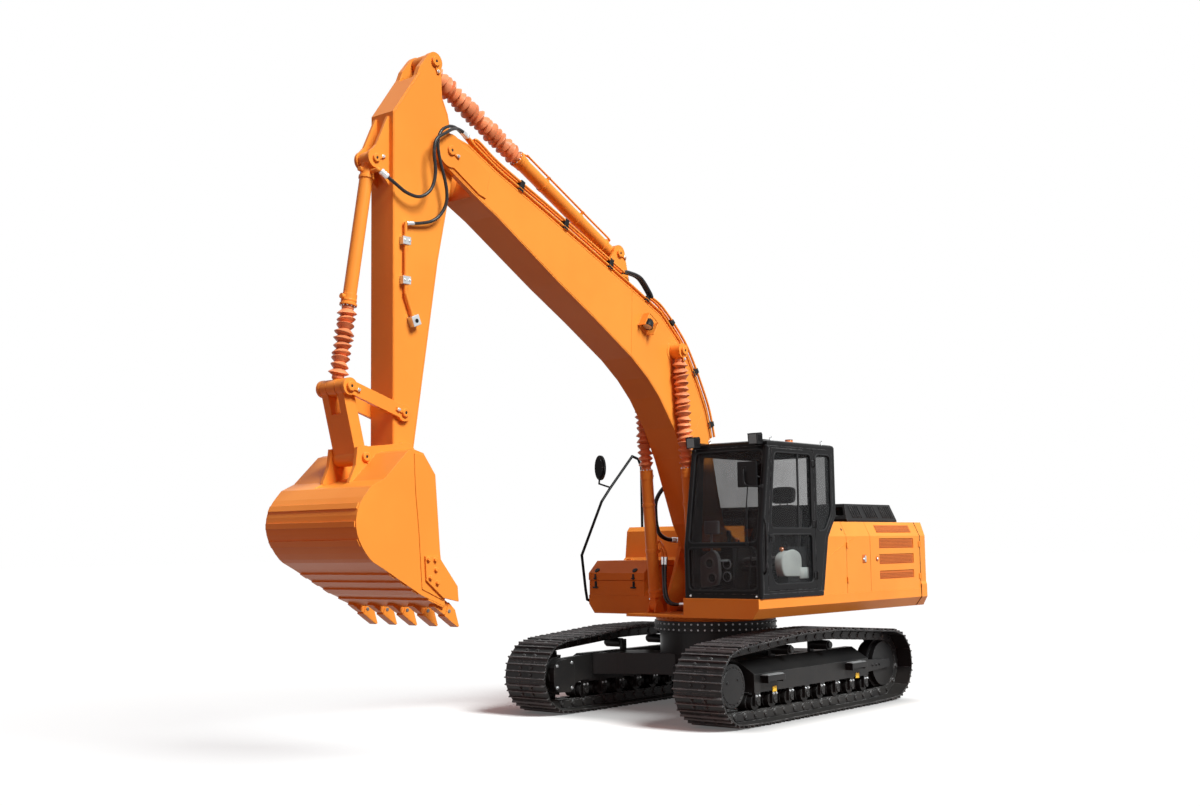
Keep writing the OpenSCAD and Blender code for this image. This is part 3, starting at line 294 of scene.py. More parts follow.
# pale shoe edges: wear polished by the ground, and a painted highlight along the edges
SHOE_BLACK = paint("shoe_black_paint", (0.011, 0.011, 0.012), (0.018, 0.0175, 0.0175), 0.38, 0.20, dust=0.14,
                   dust_top=0.6, edge_wear_and_highlight_tint=(0.300, 0.300, 0.305), dust_tint=(0.085, 0.075, 0.064), edge_wear_and_highlight=1.0)
# pale bar ridges: wear on their tops, and a painted highlight where light catches them
BAR_EDGE = paint("shoe_bar_edges", (0.105, 0.105, 0.108), (0.060, 0.060, 0.062), 0.34, 0.34, dust=0.16, dust_top=0.6,
                 edge_wear_and_highlight_tint=(0.340, 0.340, 0.345), dust_tint=(0.100, 0.090, 0.078), edge_wear_and_highlight=1.0)
DULL = bare_steel("dull_bolts", (0.420, 0.420, 0.430), 0.42)
ZINC = bare_steel("zinc_fittings", (0.66, 0.67, 0.68), 0.34)
IRON = bare_steel("tooth_iron", (0.20, 0.19, 0.19), 0.52, metal=0.7)
BOOT = rubber("boot_rubber", (0.850, 0.295, 0.125), 0.38, 60.0, 0.04)
HOSE = rubber("hose_rubber", (0.022, 0.022, 0.024), 0.28, 140.0, 0.10)
SEAL = rubber("seal_rubber", (0.006, 0.006, 0.007), 0.60, 120.0, 0.02)
GREY = moulded("grey_plastic", (0.30, 0.31, 0.315))
PALE = moulded("pale_grey_plastic", (0.60, 0.66, 0.64))
CONSOLE = moulded("dark_console_plastic", (0.022, 0.023, 0.024))
PLASTIC = moulded("black_plastic", (0.009, 0.009, 0.010), 0.46)
GLASS = tinted("tinted_glass", (0.022, 0.024, 0.026))
DOOR_GLASS = tinted("door_glass_tint", (0.022, 0.024, 0.026), 0.06, 0.17)
FABRIC = cloth("seat_fabric", (0.012, 0.012, 0.014))
LENS = lens("lamp_lens", (0.80, 0.82, 0.84))
LAMP_GLASS = lens("lamp_glass", (0.022, 0.023, 0.025))
AMBER = lens("amber_lens", (0.85, 0.22, 0.03))
YELLOW = moulded("reflector_yellow", (1.0, 0.62, 0.06), 0.34)
MIRROR = bare_steel("mirror_silver", (0.86, 0.87, 0.88), 0.04)
GRILLE = paint("grille_orange", (0.640, 0.170, 0.040), (0.540, 0.140, 0.034), 0.50, 0.08)
# painted shade: the dark red-brown of the grille's perforations, set on the sheet as flat studs
HOLE_SHADE = moulded("grille_holes", (0.170, 0.040, 0.016), 0.80)
ENGINE = bare_steel("engine_alloy", (0.30, 0.30, 0.30), 0.55)

FINISH = {name: finish for finish, names in (
    (ORANGE_LOW, "revolving_frame toolbox toolbox_lid tanks"),
    (ORANGE, "house_panels left_front_door left_rear_door right_door counterweight"),
    (ORANGE, "boom boom_barrels boom_rods boom_pipes arm arm_barrel arm_rod arm_pipe"),
    (ORANGE, "bucket bucket_teeth bucket_barrel bucket_rod bucket_link rocker_links"),
    (CAB_BLACK, "cab_base cab_front cab_left cab_right cab_rear cab_roof cab_door handrail"),
    (TRACK_BLACK, "car_body track_frames sprockets idlers bottom_rollers carrier_rollers slew_ring"),
    (SHOE_BLACK, "track_left track_right"), (HOOD_BLACK, "engine_hood"), (ENGINE, "engine"),
    (GLASS, "cab_glass"), (DOOR_GLASS, "door_glass"), (FABRIC, "seat"), (CONSOLE, "controls"), (PLASTIC, "cab_lamps"),
    (BOOT, "boom_boots arm_boot bucket_boot"), (HOSE, "arm_hoses boom_hose"),
) for name in names.split()}
for name, solid in NODES.items():
    solid.data.materials.clear()
    solid.data.materials.append(FINISH[name])


# Mesh making: a stock of simple forms that become one piece

SHARP_ANGLE = 35


class Stock:
    """Forms gathered for one piece: turned, bent, layered and chamfered."""

    def __init__(self):
        self.points = []
        self.faces = []

    def add(self, points, faces):
        k = len(self.points)
        self.points += [tuple(p) for p in points]
        self.faces += [[i + k for i in f] for f in faces]

    def turned(self, line, at, axis, n):
        """revolve of (radius, distance) points round an axis"""
        axis = Vector(axis).normalized()
        a = axis.orthogonal().normalized()
        b = axis.cross(a)
        pts, rows = [], []
        for r, s in line:
            if r < 1e-6:
                rows.append([len(pts)])
                pts.append(Vector(at) + axis * s)
            else:
                rows.append([len(pts) + i for i in range(n)])
                for i in range(n):
                    t = 2 * math.pi * i / n
                    pts.append(Vector(at) + axis * s + (a * math.cos(t) + b * math.sin(t)) * r)
        faces = []
        for lo, hi in zip(rows, rows[1:]):
            for i in range(n):
                j = (i + 1) % n
                if len(lo) == 1 and len(hi) > 1:
                    faces.append([lo[0], hi[j], hi[i]])
                elif len(hi) == 1 and len(lo) > 1:
                    faces.append([lo[i], lo[j], hi[0]])
                elif len(lo) > 1:
                    faces.append([lo[i], lo[j], hi[j], hi[i]])
        self.add(pts, faces)

    def stud(self, r, foot, edge, r_top, top, at, axis, n):
        """round stub with a chamfered top"""
        self.turned([(r, foot), (r, edge), (r_top, top), (0, top)], at, axis, n)

    def bar(self, a, b, r, n):
        """round bar from a to b with chamfered ends"""
        a, b, c = Vector(a), Vector(b), 0.002
        l = (b - a).length
        self.turned([(0, 0), (r - c, 0), (r, c), (r, l - c), (r - c, l), (0, l)], a, b - a, n)

    def block(self, lo, hi, c, turn=None):
        """box with chamfered edges"""
        lo, hi = Vector(lo), Vector(hi)
        pts = []
        for x in (0, 1):
            for y in (0, 1):
                for z in (0, 1):
                    p = Vector((hi[0] if x else lo[0], hi[1] if y else lo[1], hi[2] if z else lo[2]))
                    d = Vector((-c if x else c, -c if y else c, -c if z else c))
                    pts += [p + Vector((0, d[1], d[2])), p + Vector((d[0], 0, d[2])), p + Vector((d[0], d[1], 0))]
        self.hull([turn @ p for p in pts] if turn else pts)

    def hull(self, pts):
        bm = bmesh.new()
        for p in pts:
            bm.verts.new(p)
        bmesh.ops.convex_hull(bm, input=bm.verts)
        bm.verts.index_update()
        self.add([v.co for v in bm.verts], [[v.index for v in f.verts] for f in bm.faces])
        bm.free()

    def layers(self, rings):
        """skin over rings of equally many points, closed at the first and the last"""
        m, n = len(rings), len(rings[0])
        self.add([p for row in rings for p in row],
                 [list(range(n - 1, -1, -1)), list(range((m - 1) * n, m * n))]
                 + [[k * n + i, k * n + (i + 1) % n, (k + 1) * n + (i + 1) % n, (k + 1) * n + i]
                    for k in range(m - 1) for i in range(n)])

    def bent(self, path, r, n, closed=False):
        """round bar along a path; r is one radius or one for each point"""
        path = [Vector(p) for p in path]
        m = len(path)
        pts, up = [], None
        radii = r if isinstance(r, (list, tuple)) else [r] * m
        for i, p in enumerate(path):
            before = path[i - 1] if i or closed else p
            after = path[(i + 1) % m] if i < m - 1 or closed else p
            t = (after - before).normalized()
            up = t.orthogonal().normalized() if up is None else (up - t * up.dot(t)).normalized()
            side = t.cross(up)
            for k in range(n):
                a = 2 * math.pi * k / n
                pts.append(p + (up * math.cos(a) + side * math.sin(a)) * radii[i])
        faces = []
        for i in range(m if closed else m - 1):
            j = (i + 1) % m
            for k in range(n):
                l = (k + 1) % n
                faces.append([i * n + k, i * n + l, j * n + l, j * n + k])
        if not closed:
            faces += [list(range(n - 1, -1, -1)), [(m - 1) * n + k for k in range(n)]]
        self.add(pts, faces)

    def piece(self, name, material, body=None, smooth=SHARP_ANGLE):
        """the forms as one object; on a body, it rides that"""
        mesh = bpy.data.meshes.new(name)
        mesh.from_pydata(self.points, [], self.faces)
        bm = bmesh.new()
        bm.from_mesh(mesh)
        bmesh.ops.remove_doubles(bm, verts=bm.verts, dist=1e-6)
        bmesh.ops.recalc_face_normals(bm, faces=bm.faces)
        bm.to_mesh(mesh)
        bm.free()
        mesh.shade_smooth()
        mesh.set_sharp_from_angle(angle=math.radians(smooth))
        mesh.materials.append(material)
        obj = bpy.data.objects.new(name, mesh)
        scene.collection.objects.link(obj)
        if body:
            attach(obj, body)
        return obj


def xz(p, y):
    """point of a side outline, set at width y"""
    return (p[0], y, p[1])


def axis_of(cyl):
    """foot of a cylinder in the middle plane and the way it points"""
    p, q = (Vector(xz(end, 0)) for end in cyl)
    return p, (q - p).normalized()


def smooth_line(points, m):
    """line through the points of a route, m steps from point to point"""
    p = [Vector(q) for q in points]
    n = len(p)
    line = []
    for i in range(n - 1):
        a, b, c, d = p[max(i - 1, 0)], p[i], p[i + 1], p[min(i + 2, n - 1)]
        for k in range(m):
            t = k / m
            line.append(0.5 * (2 * b + (c - a) * t + (2 * a - 5 * b + 4 * c - d) * t * t
                               + (3 * b - a - 3 * c + d) * t * t * t))
    return line + [p[-1]]


# Hoses

def to_m(points):
    """points in millimetres, as metres"""
    return [tuple(v / 1000 for v in p) for p in points]


ARM_HOSE_R, FOOT_HOSE_R, CYL_HOSE_R = 0.016, 0.025, 0.015
HOSE_A = to_m([(4268, 168, 5867), (4340, 176, 5905), (4450, 205, 5922), (4570, 238, 5895), (4675, 250, 5820),
               (4715, 250, 5690), (4680, 250, 5520), (4615, 250, 5330), (4595, 245, 5180), (4640, 230, 5050),
               (4740, 205, 4955), (4900, 190, 4905), (5043, 180, 4882)])
HOSE_B = to_m([(4268, 202, 5867), (4345, 212, 5898), (4450, 240, 5900), (4550, 272, 5865), (4650, 290, 5805),
               (4770, 290, 5715), (4800, 290, 5580), (4780, 285, 5385), (4830, 275, 5225), (4945, 255, 5140),
               (5090, 238, 5150), (5220, 216, 5220), (5335, 177, 5306)])
BUCKET_PORT = (5.350, 0.172, 5.318)
HOSE_C = to_m([(480, -240, 2640), (545, -345, 2530), (568, -415, 2400), (568, -424, 2250), (548, -424, 2110),
               (500, -412, 2010), (410, -374, 1955), (300, -296, 1940)])


def hose(name, route, r, a, b, start, end):
    line = smooth_line(route, 14)
    s = Stock()
    s.bent(line, r, 16)
    obj = s.piece(name, HOSE, smooth=60)
    length = sum((q - p).length for p, q in zip(line, line[1:]))
    2 * r
    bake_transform(obj)
    return obj


for name, route in (("arm_hose_inner", HOSE_A), ("arm_hose_outer", HOSE_B)):
    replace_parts(hose(name, route, ARM_HOSE_R, "boom_body", "arm_body", route[2], route[10]), "arm_hoses")
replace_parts(hose("boom_foot_hose", HOSE_C, FOOT_HOSE_R, "house", "boom_body", HOSE_C[7], HOSE_C[0]), "boom_hose")


CYL_HOSES = [to_m([(845, -117, 1747), (852, -112, 1640), (858, -104, 1489), (856, -101, 1370), (848, -92, 1285),
                   (838, -60, 1232), (826, -10, 1212), (815, 60, 1208), (800, 150, 1212)]),
             to_m([(885, -41, 1747), (890, -43, 1650), (894, -46, 1500), (892, -44, 1390), (884, -32, 1300),
                   (872, 0, 1245), (858, 46, 1222), (842, 100, 1216), (820, 185, 1222)])]
for k, route in enumerate(CYL_HOSES):
    hose("boom_cylinder_hose_%d" % (k + 1), route, CYL_HOSE_R, "boom_cylinder", "house", route[0], route[-1])


def ferrules(name, body, ends):
    """pressed fittings of hoses; each starts at p, points to q and holds a hose of radius r"""
    s = Stock()
    for p, q, r in ends:
        s.turned([(r * k, z) for k, z in (
            (0, -0.004), (1.30, -0.004), (1.36, 0.0), (1.36, 0.020), (1.18, 0.024), (1.18, 0.030), (1.28, 0.034),
            (1.28, 0.052), (1.22, 0.055), (1.28, 0.058), (1.28, 0.076), (1.16, 0.082), (0.9, 0.083), (0, 0.083))],
            p, Vector(q) - Vector(p), 20)
    s.piece(name, ZINC, body)


ferrules("hose_ferrules_boom", "boom_body",
         [(HOSE_A[0], HOSE_A[1], 0.8 * ARM_HOSE_R), (HOSE_B[0], HOSE_B[1], ARM_HOSE_R),
          (HOSE_C[0], HOSE_C[1], FOOT_HOSE_R)])
ferrules("hose_ferrules_arm", "arm_body", [(HOSE_A[-1], HOSE_A[-2], ARM_HOSE_R)])
# wide enough to hide the hose's end when the cylinder tilts under it
ferrules("hose_ferrules_bucket_cylinder", "bucket_cylinder", [(BUCKET_PORT, HOSE_B[-2], 0.0225)])
ferrules("hose_ferrules_house", "house",
         [(HOSE_C[-1], HOSE_C[-2], FOOT_HOSE_R)] + [(h[-1], h[-2], CYL_HOSE_R) for h in CYL_HOSES])
ferrules("hose_ferrules_cylinder", "boom_cylinder", [(h[0], h[1], CYL_HOSE_R) for h in CYL_HOSES])


# Folded boots over the rods

def boot(name, cyl, y_list, x0, x1, folds, r_low, r_high, r_in, node, wall=0.0):
    """boots from x0 to x1 along a cylinder; wall keeps them off the boom"""
    p, d = axis_of(cyl)
    s = Stock()
    pitch = (x1 - x0 - 0.06) / folds
    line = [(r_in, x0), (r_low + 0.004, x0), (r_low + 0.006, x0 + 0.004), (r_low + 0.006, x0 + 0.024),
            (r_low, x0 + 0.030)]
    for i in range(folds):
        slump = 0.5 + 0.15 * math.sin(2.3 * i + 0.7)
        tall = r_high * (1 + 0.05 * math.sin(5.1 * i))
        for k in range(1, 11):
            u = k / 10
            v = 0.5 * u / slump if u < slump else 0.5 + 0.5 * (u - slump) / (1 - slump)
            line.append((r_low + (tall - r_low) * (1 - abs(2 * v - 1) ** 1.1), x0 + 0.030 + (i + u) * pitch))
    line += [(r_low + 0.006, x1 - 0.024), (r_low + 0.006, x1 - 0.004), (r_low + 0.004, x1), (r_in, x1)]
    line += [(r_in, x0 + (x1 - x0) * (1 - k / 12)) for k in range(1, 12)] + [(r_in, x0)]
    for y in y_list:
        s.turned(line, p + Vector((0, y, 0)), d, 36)
    # each fold sags a little to another side
    side = d.cross(Vector((0, 1, 0)))
    for i, at in enumerate(s.points):
        y = min(y_list, key=lambda c: abs(c - at[1]))
        rel = Vector(at) - p - Vector((0, y, 0))
        out = rel - d * rel.dot(d)
        if out.length > r_low + 0.008:
            turn = math.atan2(out.y, out.dot(side))
            fold = (rel.dot(d) - x0) / pitch
            deep = (out.length - r_low) / (r_high - r_low)
            s.points[i] = tuple(Vector(at) + out * 0.055 * deep * math.sin(2 * turn + 2.1 * round(fold))
                                + d * pitch * 0.20 * deep * math.sin(turn + 1.3 * round(fold)))
    # pressed flat where a fold would reach into the boom's side
    if wall:
        s.points = [(x, math.copysign(max(abs(y), wall), y), z) for x, y, z in s.points]
    obj = s.piece(name, BOOT, smooth=40)
    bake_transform(obj)
    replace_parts(obj, node)


def length_of(cyl):
    return (Vector(cyl[1]) - Vector(cyl[0])).length


boot("boom_boot_folds", BOOMCYL, BOOMCYL_YS, 1.576, length_of(BOOMCYL) - 0.090, 17, 0.052, 0.091, 0.0464,
     "boom_boots", wall=BOOM_H + 0.0085)
boot("arm_boot_folds", ARMCYL, (0.0,), 1.724, length_of(ARMCYL) - 0.095, 18, 0.058, 0.101, 0.0524,
     "arm_boot")
boot("bucket_boot_folds", BUCKETCYL, (0.0,), 1.416, length_of(BUCKETCYL) - 0.080, 10, 0.049, 0.088, 0.0444,
     "bucket_boot")


# Repeats: one node tree sets a shape on marked points, turned and sized by the points' own attributes

def repeat_tree():
    tree = bpy.data.node_groups.new("repeats", "GeometryNodeTree")
    for name, kind, way in (("Geometry", "Geometry", "INPUT"), ("Shape", "Object", "INPUT"),
                            ("Finish", "Material", "INPUT"), ("Spin", "Float", "INPUT"),
                            ("Geometry", "Geometry", "OUTPUT")):
        tree.interface.new_socket(name, in_out=way, socket_type="NodeSocket" + kind)
    new, wire = tree.nodes.new, tree.links.new
    start, end = new("NodeGroupInput"), new("NodeGroupOutput")
    shape = new("GeometryNodeObjectInfo")
    wire(start.outputs["Shape"], shape.inputs["Object"])
    turn, size = new("GeometryNodeInputNamedAttribute"), new("GeometryNodeInputNamedAttribute")
    for node, name in ((turn, "turn"), (size, "size")):
        node.data_type = "FLOAT_VECTOR"
        node.inputs["Name"].default_value = name
    any_turn = new("FunctionNodeRandomValue")
    any_turn.data_type = "FLOAT"
    wire(start.outputs["Spin"], any_turn.inputs[3])
    any_turn.inputs["Seed"].default_value = 7
    base = new("FunctionNodeEulerToRotation")
    wire(turn.outputs[0], base.inputs[0])
    about = new("FunctionNodeAxisAngleToRotation")
    about.inputs["Axis"].default_value = (0, 0, 1)
    wire(any_turn.outputs[1], about.inputs["Angle"])
    both = new("FunctionNodeRotateRotation")
    both.rotation_space = "LOCAL"
    wire(base.outputs[0], both.inputs[0])
    wire(about.outputs[0], both.inputs[1])
    put = new("GeometryNodeInstanceOnPoints")
    wire(start.outputs["Geometry"], put.inputs["Points"])
    wire(shape.outputs["Geometry"], put.inputs["Instance"])
    wire(both.outputs[0], put.inputs["Rotation"])
    wire(size.outputs[0], put.inputs["Scale"])
    real = new("GeometryNodeRealizeInstances")
    wire(put.outputs[0], real.inputs[0])
    coat = new("GeometryNodeSetMaterial")
    wire(real.outputs[0], coat.inputs["Geometry"])
    wire(start.outputs["Finish"], coat.inputs["Material"])
    wire(coat.outputs[0], end.inputs[0])
    return tree


REPEATS = repeat_tree()


def repeat(name, shape, places, material, body, spin=0.0):
    """places: (point, facing, along or None, size); the shape's +Z faces out and its +X lies along"""
    mesh = bpy.data.meshes.new(name + "_points")
    mesh.from_pydata([tuple(p[0]) for p in places], [], [])
    turns, sizes = [], []
    for _, face, along, size in places:
        z = Vector(face).normalized()
        x = Vector(along) if along is not None else z.orthogonal()
        x = (x - z * x.dot(z)).normalized()
        e = Matrix((x, z.cross(x), z)).transposed().to_euler()
        turns += [e.x, e.y, e.z]
        sizes += [size] * 3 if not isinstance(size, (tuple, list)) else list(size)
    for label, values in (("turn", turns), ("size", sizes)):
        mesh.attributes.new(label, "FLOAT_VECTOR", "POINT").data.foreach_set("vector", values)
    holder = bpy.data.objects.new(name + "_holder", mesh)
    scene.collection.objects.link(holder)
    mod = holder.modifiers.new("repeats", "NODES")
    mod.node_group = REPEATS
    ids = {i.name: i.identifier for i in REPEATS.interface.items_tree if i.in_out == "INPUT"}
    mod[ids["Shape"]] = shape
    mod[ids["Finish"]] = material
    mod[ids["Spin"]] = spin
    bpy.context.view_layer.update()
    made = bpy.data.meshes.new_from_object(holder.evaluated_get(bpy.context.evaluated_depsgraph_get()))
    holder.modifiers.remove(mod)
    bpy.data.objects.remove(holder)
    for label in ("turn", "size"):
        if label in made.attributes:
            made.attributes.remove(made.attributes[label])
    made.name = name
    made.materials.clear()
    made.materials.append(material)
    made.shade_smooth()
    made.set_sharp_from_angle(angle=math.radians(SHARP_ANGLE))
    obj = bpy.data.objects.new(name, made)
    scene.collection.objects.link(obj)
    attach(obj, body)


SHAPES = []


def shape_of(stock, name):
    obj = stock.piece(name, ZINC)
    SHAPES.append(obj)
    return obj


def bolt_shape():
    s = Stock()
    s.turned([(0.68, 0), (0.68, 0.10), (0.62, 0.14), (0.50, 0.14)], (0, 0, 0), (0, 0, 1), 14)
    s.stud(0.54, 0.13, 0.52, 0.46, 0.60, (0, 0, 0), (0, 0, 1), 6)
    return shape_of(s, "bolt_shape")


def ring(at, axis, r, n):
    """n points round an axis"""
    axis = Vector(axis).normalized()
    a = axis.orthogonal().normalized()
    b = axis.cross(a)
    return [Vector(at) + (a * math.cos(t) + b * math.sin(t)) * r
            for t in (2 * math.pi * i / n for i in range(n))]


BOLT = bolt_shape()
BOLTS = {}
BOLT_SPIN = 1.05  # radians, a sixth of a turn: each head is turned by up to that


def bolts(body, material, points, face, size):
    """bolts for a body, made together at the end"""
    BOLTS.setdefault((body, material.name), []).extend((p, face, None, size) for p in points)


# Undercarriage

WHEELS = [(-ROLLER_X, ROLLER_Z, ROLLER_R), (ROLLER_X, ROLLER_Z, ROLLER_R), (HALF_BASE, AXLE_Z, PIN_R),
          *((x, CARRIER_Z, CARRIER_R) for x in CARRIER_X), (-HALF_BASE, AXLE_Z, PIN_R)]
# places on one shoe: heights above the pins, then steps along and across the chain
SHOE_FACE, BOLT_SEAT, BAR_TOP = 0.0735, 0.0738, 0.0964
BOLT_ALONG, BAR_ALONG, BOLT_ACROSS, LINK_ACROSS = 0.038, 0.079, 0.082, 0.1052


def chain_pins():
    """pins of the chain in the x-z plane, in step with the track solids"""
    n = len(WHEELS)
    mid = [Vector(w[:2]) for w in WHEELS]
    span = [mid[(i + 1) % n] - mid[i] for i in range(n)]
    drop = [WHEELS[i][2] - WHEELS[(i + 1) % n][2] for i in range(n)]
    way = [math.atan2(s.y, s.x) - math.acos(d / s.length) for s, d in zip(span, drop)]
    run = [math.sqrt(s.length_squared - d * d) for s, d in zip(span, drop)]
    turn = [(way[i] - way[i - 1]) % (2 * math.pi) for i in range(n)]
    parts = []
    for i in range(n):
        parts += [(i, 0, WHEELS[i][2] * turn[i]), (i, 1, run[i])]
    belt = sum(p[2] for p in parts)
    count = round(belt / LINK_PITCH)
    pins = []
    for k in range(count):
        s = (k + 0.5) * belt / count
        for i, kind, l in parts:
            if s < l:
                break
            s -= l
        if kind == 0:
            a = way[i - 1] + s / WHEELS[i][2]
            pins.append(mid[i] + Vector((math.cos(a), math.sin(a))) * WHEELS[i][2])
        else:
            d = Vector((math.cos(way[i]), math.sin(way[i])))
            pins.append(mid[i] + d * WHEELS[i][2] + Vector((-d.y, d.x)) * s)
    return pins


def link_shape():
    """side plate of one chain link with its pin ends, pin to pin along X"""
    s = Stock()
    outline = [(-0.098, 0.0), (-0.090, -0.030), (-0.065, -0.040), (-0.030, -0.030), (0.030, -0.030), (0.065, -0.042),
               (0.098, -0.036), (0.118, -0.012), (0.118, 0.014), (0.098, 0.036), (0.060, 0.050), (-0.060, 0.050),
               (-0.092, 0.030)]
    s.layers([[(x, z, 0.0) for x, z in outline], [(x * 0.97, z * 0.93, 0.010) for x, z in outline]])
    s.turned([(0.026, 0.008), (0.026, 0.017), (0.022, 0.021), (0.010, 0.021), (0.008, 0.018), (0, 0.018)],
             (0.095, 0, 0), (0, 0, 1), 14)
    return shape_of(s, "link_shape")


def window_shape():
    """dark plate on a shoe, painted shade standing for its mud opening, about 76 by 36 mm with round ends"""
    s = Stock()
    rim = [(0.018 * math.cos(a), 0.026 * (1 if math.sin(a) > 0 else -1) + 0.012 * math.sin(a))
           for a in (math.pi * (k + 0.5) / 8 for k in range(16))]
    s.layers([[(x, y, 0.0) for x, y in rim], [(x * 0.96, y * 0.98, 0.0014) for x, y in rim]])
    return shape_of(s, "window_shape")


def bar_shape():
    """worn ridge of one shoe bar across the track, its top on z 0; its pale finish is wear and a painted highlight"""
    s = Stock()
    half = 0.2985
    sec = [(-0.0090, -0.0220), (-0.0058, -0.0030), (-0.0036, 0.0), (0.0036, 0.0), (0.0058, -0.0030),
           (0.0090, -0.0220)]
    s.layers([[(x, w * half, z) for x, z in sec] for w in (-1, 1)])
    return shape_of(s, "bar_shape")


def make_chains():
    pins = chain_pins()
    link, window_shade, bar = link_shape(), window_shape(), bar_shape()
    for side, name in ((1, "left"), (-1, "right")):
        y = side * TRACK_Y
        links, heads, holes, bars = [], [], [], []
        for a, b in zip(pins, pins[1:] + pins[:1]):
            mid, t = (a + b) / 2, (b - a).normalized()
            out = Vector((t.y, -t.x))
            k = (b - a).length / LINK_PITCH
            up, along = (out.x, 0, out.y), (t.x, 0, t.y)
            for u in (-BOLT_ALONG, BOLT_ALONG):
                holes.append((xz(mid + t * u * k + out * SHOE_FACE, y), up, along, 1.0))
            for u in (-BAR_ALONG, 0.0, BAR_ALONG):
                p = mid + t * u * k + out * BAR_TOP
                if p.y > 0.004:
                    bars.append((xz(p, y), up, along, 1.0))
            for w in (-1, 1):
                links.append((xz(mid, y + w * LINK_ACROSS), (0, w, 0), along, (k, 1.0, 1.0)))
                for u in (-BOLT_ALONG, BOLT_ALONG):
                    p = mid + t * u * k + out * BOLT_SEAT
                    heads.append((xz(p, y + w * BOLT_ACROSS), up, along, 0.030))
        # painted shade: thin dark plates stand for the shade inside the shoes' mud openings
        repeat("mud_windows_" + name, window_shade, holes, SEAL, "undercarriage")
        repeat("shoe_bars_" + name, bar, bars, BAR_EDGE, "undercarriage")
        repeat("chain_links_" + name, link, links, SHOE_BLACK, "undercarriage")
        repeat("shoe_bolts_" + name, BOLT, heads, SHOE_BLACK, "undercarriage", BOLT_SPIN)


make_chains()


def make_wheel_covers():
    s = Stock()
    treads, marks = Stock(), Stock()
    for side in (1, -1):
        out = Vector((0, side, 0))
        y = side * TRACK_Y
        hub = Vector((HALF_BASE, y + side * 0.165, AXLE_Z))
        s.turned([(0.226, -0.002), (0.226, 0.005), (0.220, 0.009), (0.204, 0.009), (0.200, 0.005), (0.186, 0.005),
                  (0.180, 0.012), (0.060, 0.015), (0, 0.015)], hub, out, 56)
        bolts("undercarriage", TRACK_BLACK, ring(hub + out * 0.005, out, 0.193, 20), out,
              0.015)
        for a in (0.4, 2.5):
            s.stud(0.018, 0.010, 0.019, 0.013, 0.022, hub + Vector((math.cos(a), 0, math.sin(a))) * 0.110, out, 12)
        inner = y - side * 0.262
        bolts("undercarriage", ZINC, [(HALF_BASE + dx, inner, AXLE_Z + dz) for dx, dz in
              ((-0.120, 0.140), (0.130, 0.120), (0.130, -0.120), (-0.120, -0.140))], -out, 0.028)
        cap = Vector((-HALF_BASE, y + side * 0.122, AXLE_Z))
        s.turned([(0.056, -0.002), (0.056, 0.014), (0.048, 0.022), (0.020, 0.022), (0.016, 0.016), (0, 0.016)], cap,
                 out, 28)
        bolts("undercarriage", TRACK_BLACK,
              [(-HALF_BASE + dx, y + side * 0.150, AXLE_Z) for dx in (0.16, 0.24, 0.32)], out, 0.024)
        for x in CARRIER_X:
            s.turned([(0.040, -0.002), (0.040, 0.010), (0.034, 0.016), (0.014, 0.016), (0.010, 0.012), (0, 0.012)],
                     (x, y + side * 0.125, CARRIER_Z), out, 24)
        for i in range(8):
            x = -1.150 + 2.300 * i / 7
            for w in (1, -1):
                face = Vector((0, w, 0))
                at = Vector((x, y + w * 0.151, ROLLER_Z))
                s.turned([(0.033, -0.002), (0.033, 0.008), (0.028, 0.013), (0.012, 0.013), (0.010, 0.009),
                          (0, 0.009)], at, face, 20)
                bolts("undercarriage", ZINC,
                      [(x + dx, y + w * 0.151, 0.292) for dx in (-0.028, 0.028)], face, 0.020)
        for x in (0.930, -0.840):
            lo, hi = sorted((y + side * 0.160, y + side * 0.246))
            treads.block((x - 0.155, lo, 0.4995), (x + 0.155, hi, 0.506), 0.002)
            for k in range(9):
                px = x - 0.140 + 0.035 * k
                treads.block((px - 0.008, lo + 0.008, 0.505), (px + 0.008, hi - 0.008, 0.511), 0.002)
        lo, hi = sorted((y + side * 0.1495, y + side * 0.156))
        for x in (0.827, -0.949):
            marks.block((x - 0.040, lo, 0.308), (x + 0.040, hi, 0.370), 0.003)
    s.piece("wheel_and_roller_caps", TRACK_BLACK, "undercarriage")
    treads.piece("step_treads", GREY, "undercarriage")
    marks.piece("side_reflectors", YELLOW, "undercarriage")


make_wheel_covers()
for z, r, n, body, finish in ((0.918, 0.715, 56, "undercarriage", DULL), (0.982, 0.715, 56, "undercarriage", DULL),
                              (1.050, 0.700, 48, "house", ORANGE_LOW)):
    for p in ring((0, 0, z), (0, 0, 1), r, n):
        bolts(body, finish, [p], (p.x, p.y, 0), 0.017)


# House

def tilted(origin, along, up):
    """placement whose x runs along, y up the panel and z out of it"""
    x = Vector(along).normalized()
    y = Vector(up).normalized()
    m = Matrix((x, y, x.cross(y))).transposed().to_4x4()
    m.translation = Vector(origin)
    return m


def hole_shape():
    s = Stock()
    s.stud(0.5, 0.0, 0.10, 0.40, 0.16, (0, 0, 0), (0, 0, 1), 6)
    return shape_of(s, "hole_shape")


HOLE_SHAPE = hole_shape()
HOLE_PITCH = 0.020


